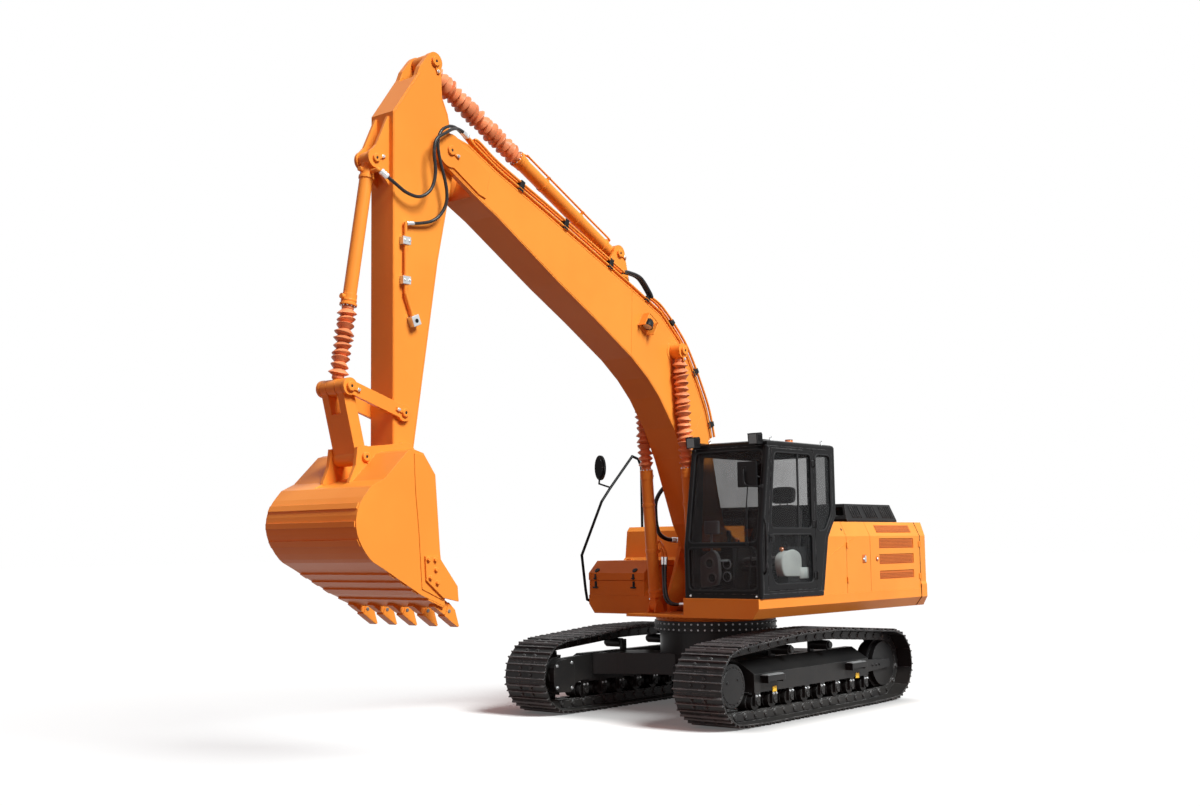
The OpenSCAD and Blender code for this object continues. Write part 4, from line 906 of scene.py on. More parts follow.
def grille(name, m, w, h, body):
    """sheet, w along and h up, its back at the placement's origin, with dark flat studs as painted shade in place of
    perforations; every second row is shifted
    """
    s = Stock()
    s.block((0, 0, 0.0002), (w, h, 0.003), 0.001, m)
    s.piece(name + "_sheet", GRILLE, body)
    along, _, face = m.to_3x3().transposed()
    row = HOLE_PITCH * 0.86
    size = (HOLE_PITCH * 0.66, HOLE_PITCH * 0.66, 0.004)
    spots = []
    for j in range(int((h - 0.012) / row)):
        for i in range(int((w - 0.012) / HOLE_PITCH) - j % 2):
            u = 0.010 + (i + 0.5 * (j % 2)) * HOLE_PITCH
            if u < w - 0.008:
                spots.append((m @ Vector((u, 0.010 + j * row, 0.0028)), face, along, size))
    # painted shade: dark flat studs where the perforations would be
    repeat(name + "_holes", HOLE_SHAPE, spots, HOLE_SHADE, body)


for k, (z, h) in enumerate(((1.810, 0.120), (1.620, 0.120), (1.440, 0.100))):
    grille("side_grille_%d" % (k + 1), tilted((-1.522, HOUSE_Y - 0.0148, z + 0.002), (-1, 0, 0), (0, 0, 1)),
           0.876, h - 0.004, "door_left_rear")
slope = Vector((0, -0.080, 0.170)).normalized()
corner = Vector((-1.500, HOUSE_Y - 0.0035, 1.9608)) + slope * 0.045
grille("chamfer_grille", tilted(corner, (-1, 0, 0), slope), 0.880, 0.100, "door_left_rear")


def make_latches():
    for body, x, side, plate in (("door_left_front", -1.150, 1, True), ("door_left_rear", -1.462, 1, False),
                                 ("door_right", -1.462, -1, True)):
        s, shiny = Stock(), Stock()
        y = side * (HOUSE_Y - 0.005)
        if plate:
            lo, hi = sorted((y - side * 0.001, y + side * 0.004))
            s.block((x - 0.045, lo, 1.640), (x + 0.045, hi, 1.742), 0.003)
            lo, hi = sorted((y + side * 0.003, y + side * 0.012))
            shiny.block((x - 0.034, lo, 1.654), (x - 0.006, hi, 1.728), 0.004)
        else:
            s.stud(0.034, -0.001, 0.003, 0.030, 0.005, (x, y, 1.690), (0, side, 0), 28)
        lock_x = x + 0.018 if plate else x
        shiny.stud(0.014, 0.003, 0.011, 0.010, 0.014, (lock_x, y, 1.690), (0, side, 0), 18)
        s.piece("latch_plate_" + body, GRILLE, body)
        shiny.piece("latch_paddle_" + body, ZINC, body)


make_latches()


def make_seams():
    """rubber strips in the joints of the house, and the pressed crease of the left side"""
    s, crease, door = Stock(), Stock(), Stock()
    for side in (-1, 1):
        # in front of the counterweight: along the panels, then along the skirts
        for joint in (((1.3710, 1.385), (1.3710, 1.960), (1.2912, 2.1305)),
                      ((1.3760, 1.350), (1.3760, 1.195), (1.2915, 1.086))):
            s.bent([(-2.5702, side * y, z) for y, z in joint], 0.0045, 8)
        s.bent([(-2.560, side * 1.3705, 1.2962), (-0.200, side * 1.3705, 1.2962)], 0.0036, 8)
    s.turned([(0.015, -0.001), (0.015, 0.0015), (0, 0.002)], (-0.690, 1.3350, 2.0390), (0, 0.170, 0.080), 20)
    s.piece("house_joint_strips", SEAL, "house")
    crease.bent([(-0.318, 1.3700, 1.722), (-0.732, 1.3700, 1.884)], 0.0042, 8)
    crease.piece("panel_crease", ORANGE, "house")
    door.bent([(-0.744, 1.3700, 1.889), (-0.930, 1.3700, 1.954)], 0.0042, 8)
    door.piece("door_crease", ORANGE, "door_left_front")


make_seams()


def make_filler():
    s = Stock()
    s.turned([(0.066, 0.000), (0.066, 0.012), (0.059, 0.016), (0.059, 0.128), (0.068, 0.132), (0.070, 0.138),
              (0.070, 0.160), (0.064, 0.168), (0.030, 0.171), (0, 0.1715)],
             (-0.420, -0.600, 2.115), (0, 0, 1), 40)
    s.block((-0.450, -0.608, 2.284), (-0.390, -0.592, 2.300), 0.003)
    s.piece("filler_cap", ZINC, "house")


make_filler()


def make_box_latches():
    s, low = Stock(), Stock()
    up = Vector((-0.166, 0, 0.146)).normalized()
    out = Vector((0.146, 0, 0.166)).normalized()
    for y in (-1.262, -0.680):
        at = Vector((0.686, y, 1.562)) + up * 0.045
        s.turned([(0.034, -0.001), (0.034, 0.007), (0.029, 0.012), (0.018, 0.012), (0.016, 0.008), (0.010, 0.008),
                  (0.008, 0.012), (0, 0.012)], at, out, 28)
        s.block((0.685, y - 0.014, 1.484), (0.696, y + 0.014, 1.552), 0.003)
        s.bar((0.697, y - 0.026, 1.500), (0.697, y + 0.026, 1.500), 0.007, 10)
        low.block((0.679, y - 0.018, 1.380), (0.688, y + 0.018, 1.465), 0.003)
        low.bar((0.693, y - 0.040, 1.392), (0.693, y + 0.040, 1.392), 0.009, 12)
        low.bar((0.690, y, 1.392), (0.690, y, 1.462), 0.007, 10)
    s.piece("box_lid_locks", PLASTIC, "box_lid")
    low.piece("box_rubber_latches", PLASTIC, "house")


make_box_latches()


def make_hood_louvres():
    """pressed slats on the slopes of the hood"""
    s = Stock()
    s.block((-0.011, -0.062, 0.0), (0.011, 0.062, 0.010), 0.003)
    slat = shape_of(s, "slat_shape")
    spots = []
    for side in (-1, 1):
        rise = Vector((0, -side * 0.100, 0.205)).normalized()
        face = Vector((0, side * 0.205, 0.100)).normalized()
        for k in range(21):
            if k % 8 < 6:
                p = Vector((-2.490 + 0.050 * k, side * 1.0645, 2.1620)) + rise * 0.112 - face * 0.0030
                spots.append((p, face, (1, 0, 0), (1.0, 1.35, 1.0)))
    repeat("hood_louvres", slat, spots, HOOD_BLACK, "hood")


make_hood_louvres()


def make_mirrors():
    s = Stock()
    y0, z0 = -HOUSE_Y - 0.045, 2.850
    n = 48
    rim = [(0.362, y0 + 0.070 * math.cos(2 * math.pi * i / n),
            z0 + 0.145 * math.sin(2 * math.pi * i / n)) for i in range(n)]
    back = [(0.3645, p[1], p[2]) for p in rim]
    s.layers([rim, back])
    s.piece("right_mirror_glass", MIRROR, "house")
    s = Stock()
    s.block((1.0125, CAB_Y1 - 0.302, 2.508), (1.0152, CAB_Y1 - 0.078, 2.767), 0.001)
    s.piece("left_mirror_glass", MIRROR, "house")


make_mirrors()


# Cab

def rounded(outline, r, n=6):
    """closed outline with its corners turned to arcs"""
    p = [Vector(q) for q in outline]
    line = []
    for i in range(len(p)):
        a, b, c = p[i - 1], p[i], p[(i + 1) % len(p)]
        u, v = (a - b).normalized(), (c - b).normalized()
        d = min(r, 0.45 * (a - b).length, 0.45 * (c - b).length)
        for k in range(n + 1):
            t = k / n
            line.append((1 - t) ** 2 * (b + u * d) + 2 * t * (1 - t) * b + t * t * (b + v * d))
    return line


WIN_DOOR_UP = [(0.888, 2.050), (0.788, 2.888), (0.024, 2.888), (0.024, 2.050)]
WIN_DOOR_LOW = [(0.820, 1.445), (0.898, 1.560), (0.898, 1.880), (0.884, 1.990), (0.024, 1.990), (0.024, 1.445)]
WIN_REAR = [(-0.072, 2.020), (-0.072, 2.895), (-0.398, 2.895), (-0.398, 2.215), (-0.250, 2.020)]
WIN_RIGHT = [(0.875, 1.800), (0.795, 2.880), (-0.390, 2.880), (-0.390, 2.240), (-0.190, 1.950), (-0.190, 1.800)]
WIN_R = 0.070


def shrink(outline, d):
    c = sum((Vector(p) for p in outline), Vector((0, 0))) / len(outline)
    return [Vector(p) + (c - Vector(p)).normalized() * d for p in outline]


def make_window_seals():
    s = Stock()
    for win, y in ((WIN_REAR, CAB_Y1 - 0.006), (WIN_RIGHT, CAB_Y0 + 0.006)):
        s.bent([xz(p, y) for p in rounded(shrink(win, 0.004), WIN_R)], 0.010, 8, closed=True)
    for z0, z1, x0, x1 in ((1.898, 2.912, 1.1003, 0.9313), (1.385, 1.858, 1.1008, 1.1049)):
        loop = []
        for yy, zz in rounded([(CAB_Y0 + 0.040, z0 + 0.002), (CAB_Y1 - 0.046, z0 + 0.002),
                               (CAB_Y1 - 0.046, z1 - 0.002), (CAB_Y0 + 0.040, z1 - 0.002)], WIN_R):
            loop.append((x0 + (x1 - x0) * (zz - z0) / (z1 - z0) - 0.006, yy, zz))
        s.bent(loop, 0.010, 8, closed=True)
    s.piece("cab_window_seals", SEAL, "house")
    s = Stock()
    for win in (WIN_DOOR_UP, WIN_DOOR_LOW):
        s.bent([xz(p, CAB_Y1 - 0.006) for p in rounded(shrink(win, 0.004), WIN_R)], 0.010, 8, closed=True)
    s.block((0.286, CAB_Y1 - 0.018, 2.052), (0.314, CAB_Y1 - 0.004, 2.886), 0.002)
    s.piece("door_window_seals", SEAL, "door_cab")


make_window_seals()


LAMP_Y = (CAB_Y0 - 0.005, CAB_Y1 - 0.165)
BEACON = (0.156, CAB_Y1 - 0.200, CAB_TOP)


def lamp_place(y):
    """placement on the front of a roof lamp, leaning as the lamp does"""
    return Matrix.Translation((1.0365, y + 0.060, 3.019)) @ Matrix.Rotation(math.radians(5.6), 4, "Y")


def make_cab_fittings():
    s = Stock()
    # bow that holds the left mirror
    s.bent(smooth_line([(1.044, 1.160, 2.695), (1.066, 1.164, 2.650), (1.066, 1.178, 2.540), (1.060, 1.230, 2.510),
                        (1.040, 1.330, 2.502), (1.000, 1.366, 2.502)], 6), 0.010, 10)
    s.block((1.040, 1.130, 2.660), (1.052, 1.190, 2.720), 0.004)
    s.turned([(0.030, 0.0), (0.030, 0.034), (0.022, 0.044), (0, 0.045)], (0.996, 1.358, 2.480), (0, 0, 1), 20)
    for y in LAMP_Y:
        tilt = lamp_place(y)
        s.block((-0.003, -0.060, -0.061), (0.008, 0.060, -0.052), 0.002, tilt)
        s.block((-0.003, -0.060, 0.052), (0.012, 0.060, 0.061), 0.002, tilt)
        s.block((-0.003, -0.060, -0.060), (0.008, -0.051, 0.060), 0.002, tilt)
        s.block((-0.003, 0.051, -0.060), (0.008, 0.060, 0.060), 0.002, tilt)
        for k in range(4):
            s.block((0.950 + 0.020 * k, y - 0.004, 2.990), (0.957 + 0.020 * k, y + 0.124, 3.060), 0.001)
    s.turned([(0.054, -0.001), (0.054, 0.008), (0.049, 0.012), (0.046, 0.012)], BEACON, (0, 0, 1), 28)
    # wiper with its arm and blade
    s.stud(0.020, 0, 0.020, 0.012, 0.026, (1.098, 1.230, 1.885), (1, 0, 0.1), 16)
    s.bent([(1.112, 1.230, 1.888), (1.075, 1.205, 2.150), (1.040, 1.180, 2.330)], 0.007, 8)
    s.bent([(1.092, 1.185, 2.020), (1.030, 1.180, 2.370), (0.985, 1.178, 2.640)], 0.006, 8)
    s.piece("cab_fittings", PLASTIC, "house")
    s = Stock()
    for y in LAMP_Y:
        tilt = lamp_place(y)
        s.block((-0.002, -0.052, -0.053), (0.004, 0.052, 0.053), 0.002, tilt)
    s.piece("roof_lamp_lenses", LAMP_GLASS, "house")
    s = Stock()
    s.turned([(0.0455, 0.010), (0.0455, 0.036), (0.041, 0.046), (0.026, 0.051), (0, 0.052)],
             BEACON, (0, 0, 1), 32)
    s.piece("roof_beacon", AMBER, "house")
    s = Stock()
    for x, y in ((0.713, 1.300), (-0.350, 1.300), (0.713, 0.480), (-0.350, 0.480)):
        s.turned([(0.024, -0.001), (0.024, 0.006), (0.012, 0.010), (0.010, 0.018), (0, 0.018)], (x, y, CAB_TOP),
                 (0, 0, 1), 20)
        s.bent([(x + 0.017 * math.cos(a), y, CAB_TOP + 0.033 + 0.017 * math.sin(a))
                for a in (2 * math.pi * k / 20 for k in range(20))], 0.006, 8, closed=True)
    s.piece("roof_eye_bolts", ZINC, "house")
    bolts("house", ZINC, [(1.1003, y, 1.326) for y in (0.455, 1.325)], (1, 0, 0), 0.018)
    s = Stock()
    # rounded posts at the front corners
    for y in (CAB_Y0 + 0.016, CAB_Y1 - 0.016):
        s.bent([(1.085, y, 1.304), (1.0885, y, 1.862), (1.0860, y, 1.880), (0.911, y, 2.938)], 0.031, 16)
        s.turned([(0.031, 0.0), (0.026, 0.014), (0.014, 0.024), (0, 0.027)], (0.911, y, 2.938), (-0.163, 0, 0.987),
                 16)
    s.piece("cab_front_posts", CAB_BLACK, "house", smooth=60)
    s = Stock()
    # door handle and lock
    s.block((0.835, CAB_Y1 - 0.001, 1.900), (0.925, CAB_Y1 + 0.008, 1.985), 0.003)
    s.bent([(x, CAB_Y1 + y, 1.955) for x, y in ((0.850, 0.006), (0.860, 0.024), (0.905, 0.024), (0.915, 0.006))],
           0.008, 8)
    s.stud(0.014, 0.006, 0.014, 0.010, 0.017, (0.880, CAB_Y1, 1.920), (0, 1, 0), 16)
    s.piece("cab_door_handle", PLASTIC, "door_cab")
    s = Stock()
    rail = [(x, CAB_Y1 + y, z) for x, y, z in (
        (1.030, -0.012, 1.560), (1.036, 0.030, 1.600), (1.040, 0.034, 1.700), (1.040, 0.034, 2.020),
        (1.036, 0.030, 2.120), (1.022, -0.012, 2.160))]
    s.bent(smooth_line(rail, 6), 0.013, 10)
    s.piece("cab_grab_handle", CAB_BLACK, "house")


make_cab_fittings()


# Seat and what stands beside it

def cushion(s, lo, hi, crown, lean):
    """stuffed block with rounded corners and crowned faces"""
    n = 14  # faces along each edge
    lo, hi = Vector(lo), Vector(hi)
    c, h = (lo + hi) / 2, (hi - lo) / 2
    pts, faces, index = [], [], {}

    def put(p):
        key = tuple(round(v, 5) for v in p)
        if key not in index:
            q = Vector(p)
            e = [abs(v) ** 5.0 for v in q]
            q = q / max(1e-9, sum(e) ** (1 / 5.0))
            swell = 1 + crown * (1 - q.x * q.x) * (1 - q.y * q.y) if abs(q.z) > 0.6 else 1.0
            w = Vector((c.x + q.x * h.x, c.y + q.y * h.y, c.z + q.z * h.z * swell))
            w.x += lean * (w.z - lo.z)
            index[key] = len(pts)
            pts.append(w)
        return index[key]

    for axis in range(3):
        for side in (-1, 1):
            for i in range(n):
                for j in range(n):
                    quad = []
                    for di, dj in ((0, 0), (1, 0), (1, 1), (0, 1)):
                        p = [0, 0, 0]
                        p[axis] = side
                        p[(axis + 1) % 3] = -1 + 2 * (i + di) / n
                        p[(axis + 2) % 3] = -1 + 2 * (j + dj) / n
                        quad.append(put(p))
                    faces.append(quad if side > 0 else quad[::-1])
    s.add(pts, faces)


def make_seat():
    y = 0.890
    base, trim = Stock(), Stock()
    base.block((-0.060, y - 0.200, 1.350), (0.320, y + 0.200, 1.400), 0.008)
    for k in range(6):
        r = 0.185 - 0.010 * (k % 2)
        base.block((0.130 - r, y - r, 1.400 + 0.030 * k), (0.130 + r, y + r, 1.431 + 0.030 * k), 0.008)
    base.block((-0.110, y - 0.235, 1.580), (0.400, y + 0.235, 1.632), 0.010)
    base.piece("seat_stand", PLASTIC, "house")
    for name, x0, x1, half, z0, z1, crown, lean, give in (
            ("seat_pad", -0.120, 0.428, 0.250, 1.630, 1.735, 0.16, 0.0, 0.7),
            ("seat_back", -0.130, 0.020, 0.240, 1.735, 2.325, 0.02, -0.18, 0.7),
            ("seat_headrest", -0.205, -0.105, 0.150, 2.350, 2.535, 0.05, -0.08, 0.8)):
        s = Stock()
        cushion(s, (x0, y - half, z0), (x1, y + half, z1), crown, lean)
        obj = s.piece(name, FABRIC, "house", smooth=70)
        if name == "seat_pad":
            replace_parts(obj, "seat")
    # seams and welt of the pad, and the stalks of the headrest
    for q in (-0.110, 0.110):
        trim.bent([(x, y + q, 1.7385 - 0.21 * (x - 0.15) ** 2) for x in np.linspace(-0.08, 0.39, 12)], 0.004, 6)
    edge = rounded([(-0.118, y - 0.249), (0.426, y - 0.249), (0.426, y + 0.249), (-0.118, y + 0.249)], 0.05)
    trim.bent([(p.x, p.y, 1.690) for p in edge], 0.005, 8, closed=True)
    for q in (-0.05, 0.05):
        trim.bar((-0.165, y + q, 2.290), (-0.165, y + q, 2.380), 0.007, 10)
    trim.piece("seat_welts", PLASTIC, "house")


make_seat()


def make_console():
    s, dark, knob = Stock(), Stock(), Stock()
    x0 = 0.500
    for z in (1.520, 1.660):
        s.turned([(0.060, -0.001), (0.060, 0.008), (0.052, 0.012), (0.046, 0.012), (0.046, 0.004)], (x0, 0.536, z),
                 (1, 0, 0), 32)
        dark.turned([(0.0455, 0.002), (0.0455, 0.005), (0, 0.006)], (x0, 0.536, z), (1, 0, 0), 28)
    # panel with two round vents low in the right front corner
    outline = rounded([(0.470, 1.745), (0.640, 1.832), (0.710, 1.758), (0.726, 1.554), (0.693, 1.437),
                       (0.470, 1.405)], 0.035, 5)
    s.layers([[(x, y + (0.600 - y) * k, z + (1.620 - z) * k) for y, z in outline]
              for x, k in ((0.880, 0.0), (0.928, 0.0), (0.934, 0.03))])
    for y, z in ((0.600, 1.678), (0.630, 1.517)):
        s.turned([(0.064, -0.002), (0.064, 0.008), (0.056, 0.014), (0.050, 0.014), (0.044, 0.003)], (0.933, y, z),
                 (1, 0, 0), 32)
        dark.turned([(0.045, 0.0), (0.045, 0.004), (0, 0.005)], (0.933, y, z), (1, 0, 0), 28)
    # pale cover of the left console, seen through the door
    cover = Stock()
    side = rounded([(0.515, 1.522), (0.562, 1.626), (0.556, 1.742), (0.458, 1.798), (0.326, 1.825), (0.205, 1.795),
                    (0.145, 1.735), (0.150, 1.515)], 0.050, 5)
    cover.layers([[(0.340 + (x - 0.340) * k, y, 1.660 + (z - 1.660) * k) for x, z in side]
                  for y, k in ((1.215, 1.0), (1.296, 1.0), (1.306, 0.97), (1.309, 0.90))])
    cover.block((0.010, 1.262, 1.490), (0.200, 1.316, 1.617), 0.008)
    cover.piece("console_cover", PALE, "house", smooth=50)
    dark.bent(smooth_line([(0.164, 1.270, 1.600), (0.100, 1.270, 1.735), (-0.030, 1.270, 1.864),
                           (-0.025, 1.270, 1.960)], 6), 0.014, 10)
    knob.turned([(0.009, -0.060), (0.009, 0.0), (0.024, 0.010), (0.028, 0.026), (0.020, 0.044), (0, 0.050)],
                (0.447, 1.235, 1.800), (0.1, 0, 1), 20)
    # monitor beside the right front pillar
    s.block((0.800, 0.470, 2.000), (0.850, 0.660, 2.150), 0.010)
    s.bar((0.830, 0.560, 1.700), (0.830, 0.560, 2.002), 0.014, 14)
    s.bar((0.830, 0.560, 1.700), (0.500, 0.540, 1.700), 0.014, 14)
    dark.block((0.7965, 0.482, 2.014), (0.8005, 0.648, 2.136), 0.001)
    for a, b in (((0.440, 0.535, 1.849), (0.470, 0.545, 2.040)), ((0.360, 1.227, 1.849), (0.390, 1.217, 2.040))):
        way = Vector(b) - Vector(a)
        dark.turned([(0.048, 0.000), (0.044, 0.012), (0.046, 0.018), (0.036, 0.030), (0.038, 0.036), (0.026, 0.052),
                     (0.0205, 0.058)], a, way, 20)
        dark.turned([(0.0205, 0.118), (0.027, 0.128), (0.029, 0.160), (0.025, 0.190), (0.018, 0.198), (0, 0.200)],
                    a, way, 20)
    knob.turned([(0.008, 0.0), (0.008, 0.060), (0.022, 0.070), (0.026, 0.086), (0.020, 0.104), (0, 0.110)],
                (0.250, 0.520, 1.849), (0.15, 0, 1), 20)
    s.piece("console_rings", GREY, "house")
    dark.piece("console_dark_parts", PLASTIC, "house")
    knob.piece("console_lever_knob", AMBER, "house")


make_console()


# Front: welds, pin locks, glands and bolts

def make_boom_lamp():
    """work lamp in its bracket on the left side of the boom"""
    s, dark, clear = Stock(), Stock(), Stock()
    x0, z0, y0 = 1.535, 4.330, BOOM_H
    a = math.radians(-58)
    m = Matrix.Translation((x0, y0, z0)) @ Matrix.Rotation(-a, 4, "Y")
    s.block((-0.085, -0.001, -0.100), (0.085, 0.008, 0.100), 0.003, m)
    s.block((-0.085, 0.006, 0.086), (0.085, 0.105, 0.095), 0.003, m)
    s.block((-0.085, 0.006, -0.095), (0.085, 0.105, -0.086), 0.003, m)
    s.block((-0.085, 0.097, -0.095), (-0.075, 0.106, 0.095), 0.003, m)
    at = m @ Vector((-0.030, 0.055, 0))
    way = m.to_3x3() @ Vector((1, 0, 0))
    dark.turned([(0, -0.030), (0.030, -0.030), (0.052, 0.0), (0.060, 0.050), (0.062, 0.070), (0.054, 0.070),
                 (0.052, 0.062), (0, 0.062)], at, way, 28)
    clear.turned([(0.052, 0.060), (0.052, 0.066), (0.030, 0.071), (0, 0.072)], at, way, 28)
    s.piece("boom_lamp_bracket", ORANGE, "boom_body")
    dark.piece("boom_lamp_housing", PLASTIC, "boom_body")
    clear.piece("boom_lamp_lens", LENS, "boom_body")


make_boom_lamp()


def make_barrel_pipes():
    """oil pipes that run along the barrels from port to port"""
    for body, cyl, x0, x1, r, ys, sides in (("arm_cylinder", ARMCYL, 0.130, 1.648, 0.072, (0.0,), (-1, 1)),
                                           ("boom_cylinder", BOOMCYL, 0.175, 1.500, 0.068, BOOMCYL_YS, (0,))):
        p, d = axis_of(cyl)
        up = Vector((-d.z, 0, d.x))
        s, clamp = Stock(), Stock()
        for y in ys:
            for side in sides:
                o = p + Vector((0, y, 0))
                off = (up * 0.84 + Vector((0, side * 0.55, 0))).normalized() * (r + 0.030)
                path = [o + d * x0 + up * (r + 0.034), o + d * (x0 + 0.05) + off, o + d * (x0 + 0.4) + off,
                        o + d * (x1 - 0.10) + off, o + d * (x1 - 0.03) + off, o + d * x1 + up * (r + 0.034)]
                s.bent(smooth_line(path, 8), 0.011, 10)
                for u in (0.35, 0.75):
                    c = o + d * (x0 + (x1 - x0) * u)
                    clamp.turned([(r + 0.0002, -0.020), (r + 0.006, -0.018), (r + 0.006, 0.018), (r + 0.0002, 0.020)],
                                 c, d, 36)
                    clamp.bar(c + off * 0.70 - d * 0.001, c + off * 1.12, 0.016, 12)
        if body == "boom_cylinder":
            o = p + Vector((0, BOOMCYL_YS[0], 0))
            for h, z in zip(CYL_HOSES, (0.60, 0.70)):
                a = o + d * z + up * 0.060
                top = Vector(h[0])
                s.bent(smooth_line([o + d * z + Vector((0, 0.060, 0)), a + Vector((0.020, 0.090, 0.040)),
                                    top + Vector((0.0, -0.020, 0.090)), top + Vector((0, 0, 0.030)), top], 8),
                       0.013, 10)
        s.piece("barrel_pipes_" + body, ORANGE, body, smooth=60)
        clamp.piece("barrel_clamps_" + body, ORANGE, body)


make_barrel_pipes()


BOOM_LINE = to_m([
    (330, 1840), (520, 2126), (842, 2870), (1035, 3213), (1290, 3540), (1500, 3740), (1780, 3943), (2400, 4300),
    (2952, 4600), (3894, 5150), (4119, 5262), (4600, 5530), (4640, 5760), (4500, 5835), (4270, 5792), (3871, 5596),
    (3213, 5326), (2521, 5036), (1746, 4707), (1238, 4476), (910, 4204), (743, 3998), (554, 3688), (413, 3414),
    (330, 3117), (190, 2500), (50, 2010)])
ARM_LINE = to_m([
    (4945, 2745), (4990, 2680), (5150, 2680), (5187, 2800), (5187, 5923), (4850, 6400), (4560, 6200), (4488, 6052),
    (4470, 5973), (4435, 5427), (4622, 4605)])


def inset(line, d):
    """closed outline moved inwards by d"""
    n = len(line)
    made = []
    for i in range(n):
        a, b, c = Vector(line[i - 1]), Vector(line[i]), Vector(line[(i + 1) % n])
        u, v = (b - a).normalized(), (c - b).normalized()
        nu, nv = Vector((-u.y, u.x)), Vector((-v.y, v.x))
        m = nu + nv
        made.append(b + m * (d / max(0.3, m.dot(nu))))
    return made


WELD_RIPPLE = 0.012


def weld(s, line, y, r=0.0055, skip=()):
    """rippled bead along the points of a side outline at width y"""
    pts = []
    for a, b in zip(line, line[1:]):
        a, b = Vector(a), Vector(b)
        m = max(1, int((b - a).length / WELD_RIPPLE))
        pts += [a + (b - a) * (k / m) for k in range(m)]
    pts.append(Vector(line[-1]))
    runs, run = [], []
    for p in pts:
        if any((p - Vector(q)).length < d for q, d in skip):
            if len(run) > 3:
                runs.append(run)
            run = []
        else:
            run.append(p)
    if len(run) > 3:
        runs.append(run)
    for run in runs:
        s.bent([xz(p, y) for p in run], [r * (1.0 + 0.16 * (k % 2)) for k in range(len(run))], 6)


def make_welds():
    boom, arm = Stock(), Stock()
    line = inset(BOOM_LINE, 0.016)
    slim = 0.0027  # low enough for the boots and glands that pass
    ends = ((BOOM_FOOT, 0.17), (BOOM_TIP, 0.17))
    for side in (-1, 1):
        y = side * (BOOM_H + 0.0003)
        weld(boom, line[0:12], y, slim, skip=ends)
        weld(boom, line[13:27], y, slim, skip=(*ends, (BOOMCYL[1], 0.12)))
        for a, b in (((1.746, 4.707), (1.780, 3.943)), ((0.842, 2.870), (0.430, 3.470))):
            a, b = Vector(a), Vector(b)
            weld(boom, [a + (b - a) * 0.03, b + (a - b) * 0.03], y, slim)
        for p, r in ((BOOM_FOOT, 0.167), (BOOM_TIP, 0.167), (BOOMCYL[1], 0.122)):
            loop = [(p[0] + r * math.cos(t), p[1] + r * math.sin(t)) for t in np.linspace(0, 2 * math.pi, 80)]
            weld(boom, loop, y, slim)
    boom.piece("boom_welds", ORANGE, "boom_body", smooth=60)
    line = inset(ARM_LINE, 0.014)
    for side in (-1, 1):
        weld(arm, line[3:6], side * (ARM_H + 0.0005))
        weld(arm, line[6:11] + [line[0]], side * (ARM_H + 0.0003), 0.0020)
    arm.piece("arm_welds", ORANGE, "arm_body", smooth=60)


make_welds()


def pin_end(s, dark, p, y, side, r):
    """end of a pin: chamfered face with a dark disc in its centre, painted shade standing for its hole"""
    at, out = xz(p, y), (0, side, 0)
    s.turned([(r - 0.0005, -0.002), (r - 0.0005, 0.005), (r - 0.006, 0.010), (0.016, 0.010), (0.013, 0.007),
              (0, 0.007)], at, out, 28)
    # painted shade: a thin dark disc where the pin's hole would be
    dark.turned([(0.0125, 0.006), (0.0125, 0.0078), (0, 0.008)], at, out, 16)


def lock_plate(s, p, y, side, r, angle, body):
    """plate that keeps a pin from turning, with its bolt"""
    a = math.radians(angle)
    u = Vector((math.cos(a), 0, math.sin(a)))
    v = Vector((-math.sin(a), 0, math.cos(a)))
    m = Matrix((u, v, u.cross(v))).transposed().to_4x4()
    m.translation = Vector(xz(p, y))
    flip = (m.to_3x3() @ Vector((0, 0, 1))).y * side
    z0, z1 = (-0.001, 0.012) if flip > 0 else (-0.012, 0.001)
    s.block((r * 0.55, -r * 0.42, z0), (r + 0.072, r * 0.42, z1), 0.003, m)
    at = m @ Vector((r + 0.045, 0, 0.012 if flip > 0 else -0.012))
    bolts(body, ZINC, [at], (0, side, 0), 0.024)


def make_pins():
    # pin, width of its end, radius, angle of its lock plate and width where that sits
    sets = {
        "boom_body": [(BOOM_TIP, BOOM_H + 0.024, 0.0485, 205, BOOM_H + 0.014), (ARMCYL[0], 0.126, 0.044, 200, 0.110)],
        "house": [(BOOM_FOOT, 0.290, 0.049, 60, 0.270), (BOOMCYL[0], 0.350, 0.038, 90, 0.350)],
        "boom_piston": [(BOOMCYL[1], 0.376, 0.050, 270, 0.357)],
        "arm_body": [(ARMCYL[1], ARM_H + 0.018, 0.050, 250, ARM_H), (BUCKETCYL[0], 0.112, 0.040, 160, 0.100)],
        "rocker": [(ROCKER_PIN, ARM_H + 0.052, 0.040, 17, ARM_H + 0.040),
                   (COMMON_PIN, ARM_H + 0.056, 0.046, 197, ARM_H + 0.040)],
        "bucket_body": [(BUCKET_PIN, ARM_H + 0.066, 0.045, 330, ARM_H + 0.050),
                        (LINK_PIN, ARM_H + 0.066, 0.042, 235, ARM_H + 0.050)],
    }
    for body, items in sets.items():
        steel, plate, dark = Stock(), Stock(), Stock()
        for p, y, r, angle, seat in items:
            for side in (-1, 1):
                pin_end(steel, dark, p, side * y, side, r)
                lock_plate(plate, p, side * seat, side, r, angle, body)
        steel.piece("pin_ends_" + body, ORANGE, body)
        dark.piece("pin_holes_" + body, SEAL, body)
        plate.piece("pin_locks_" + body, ORANGE, body)


make_pins()


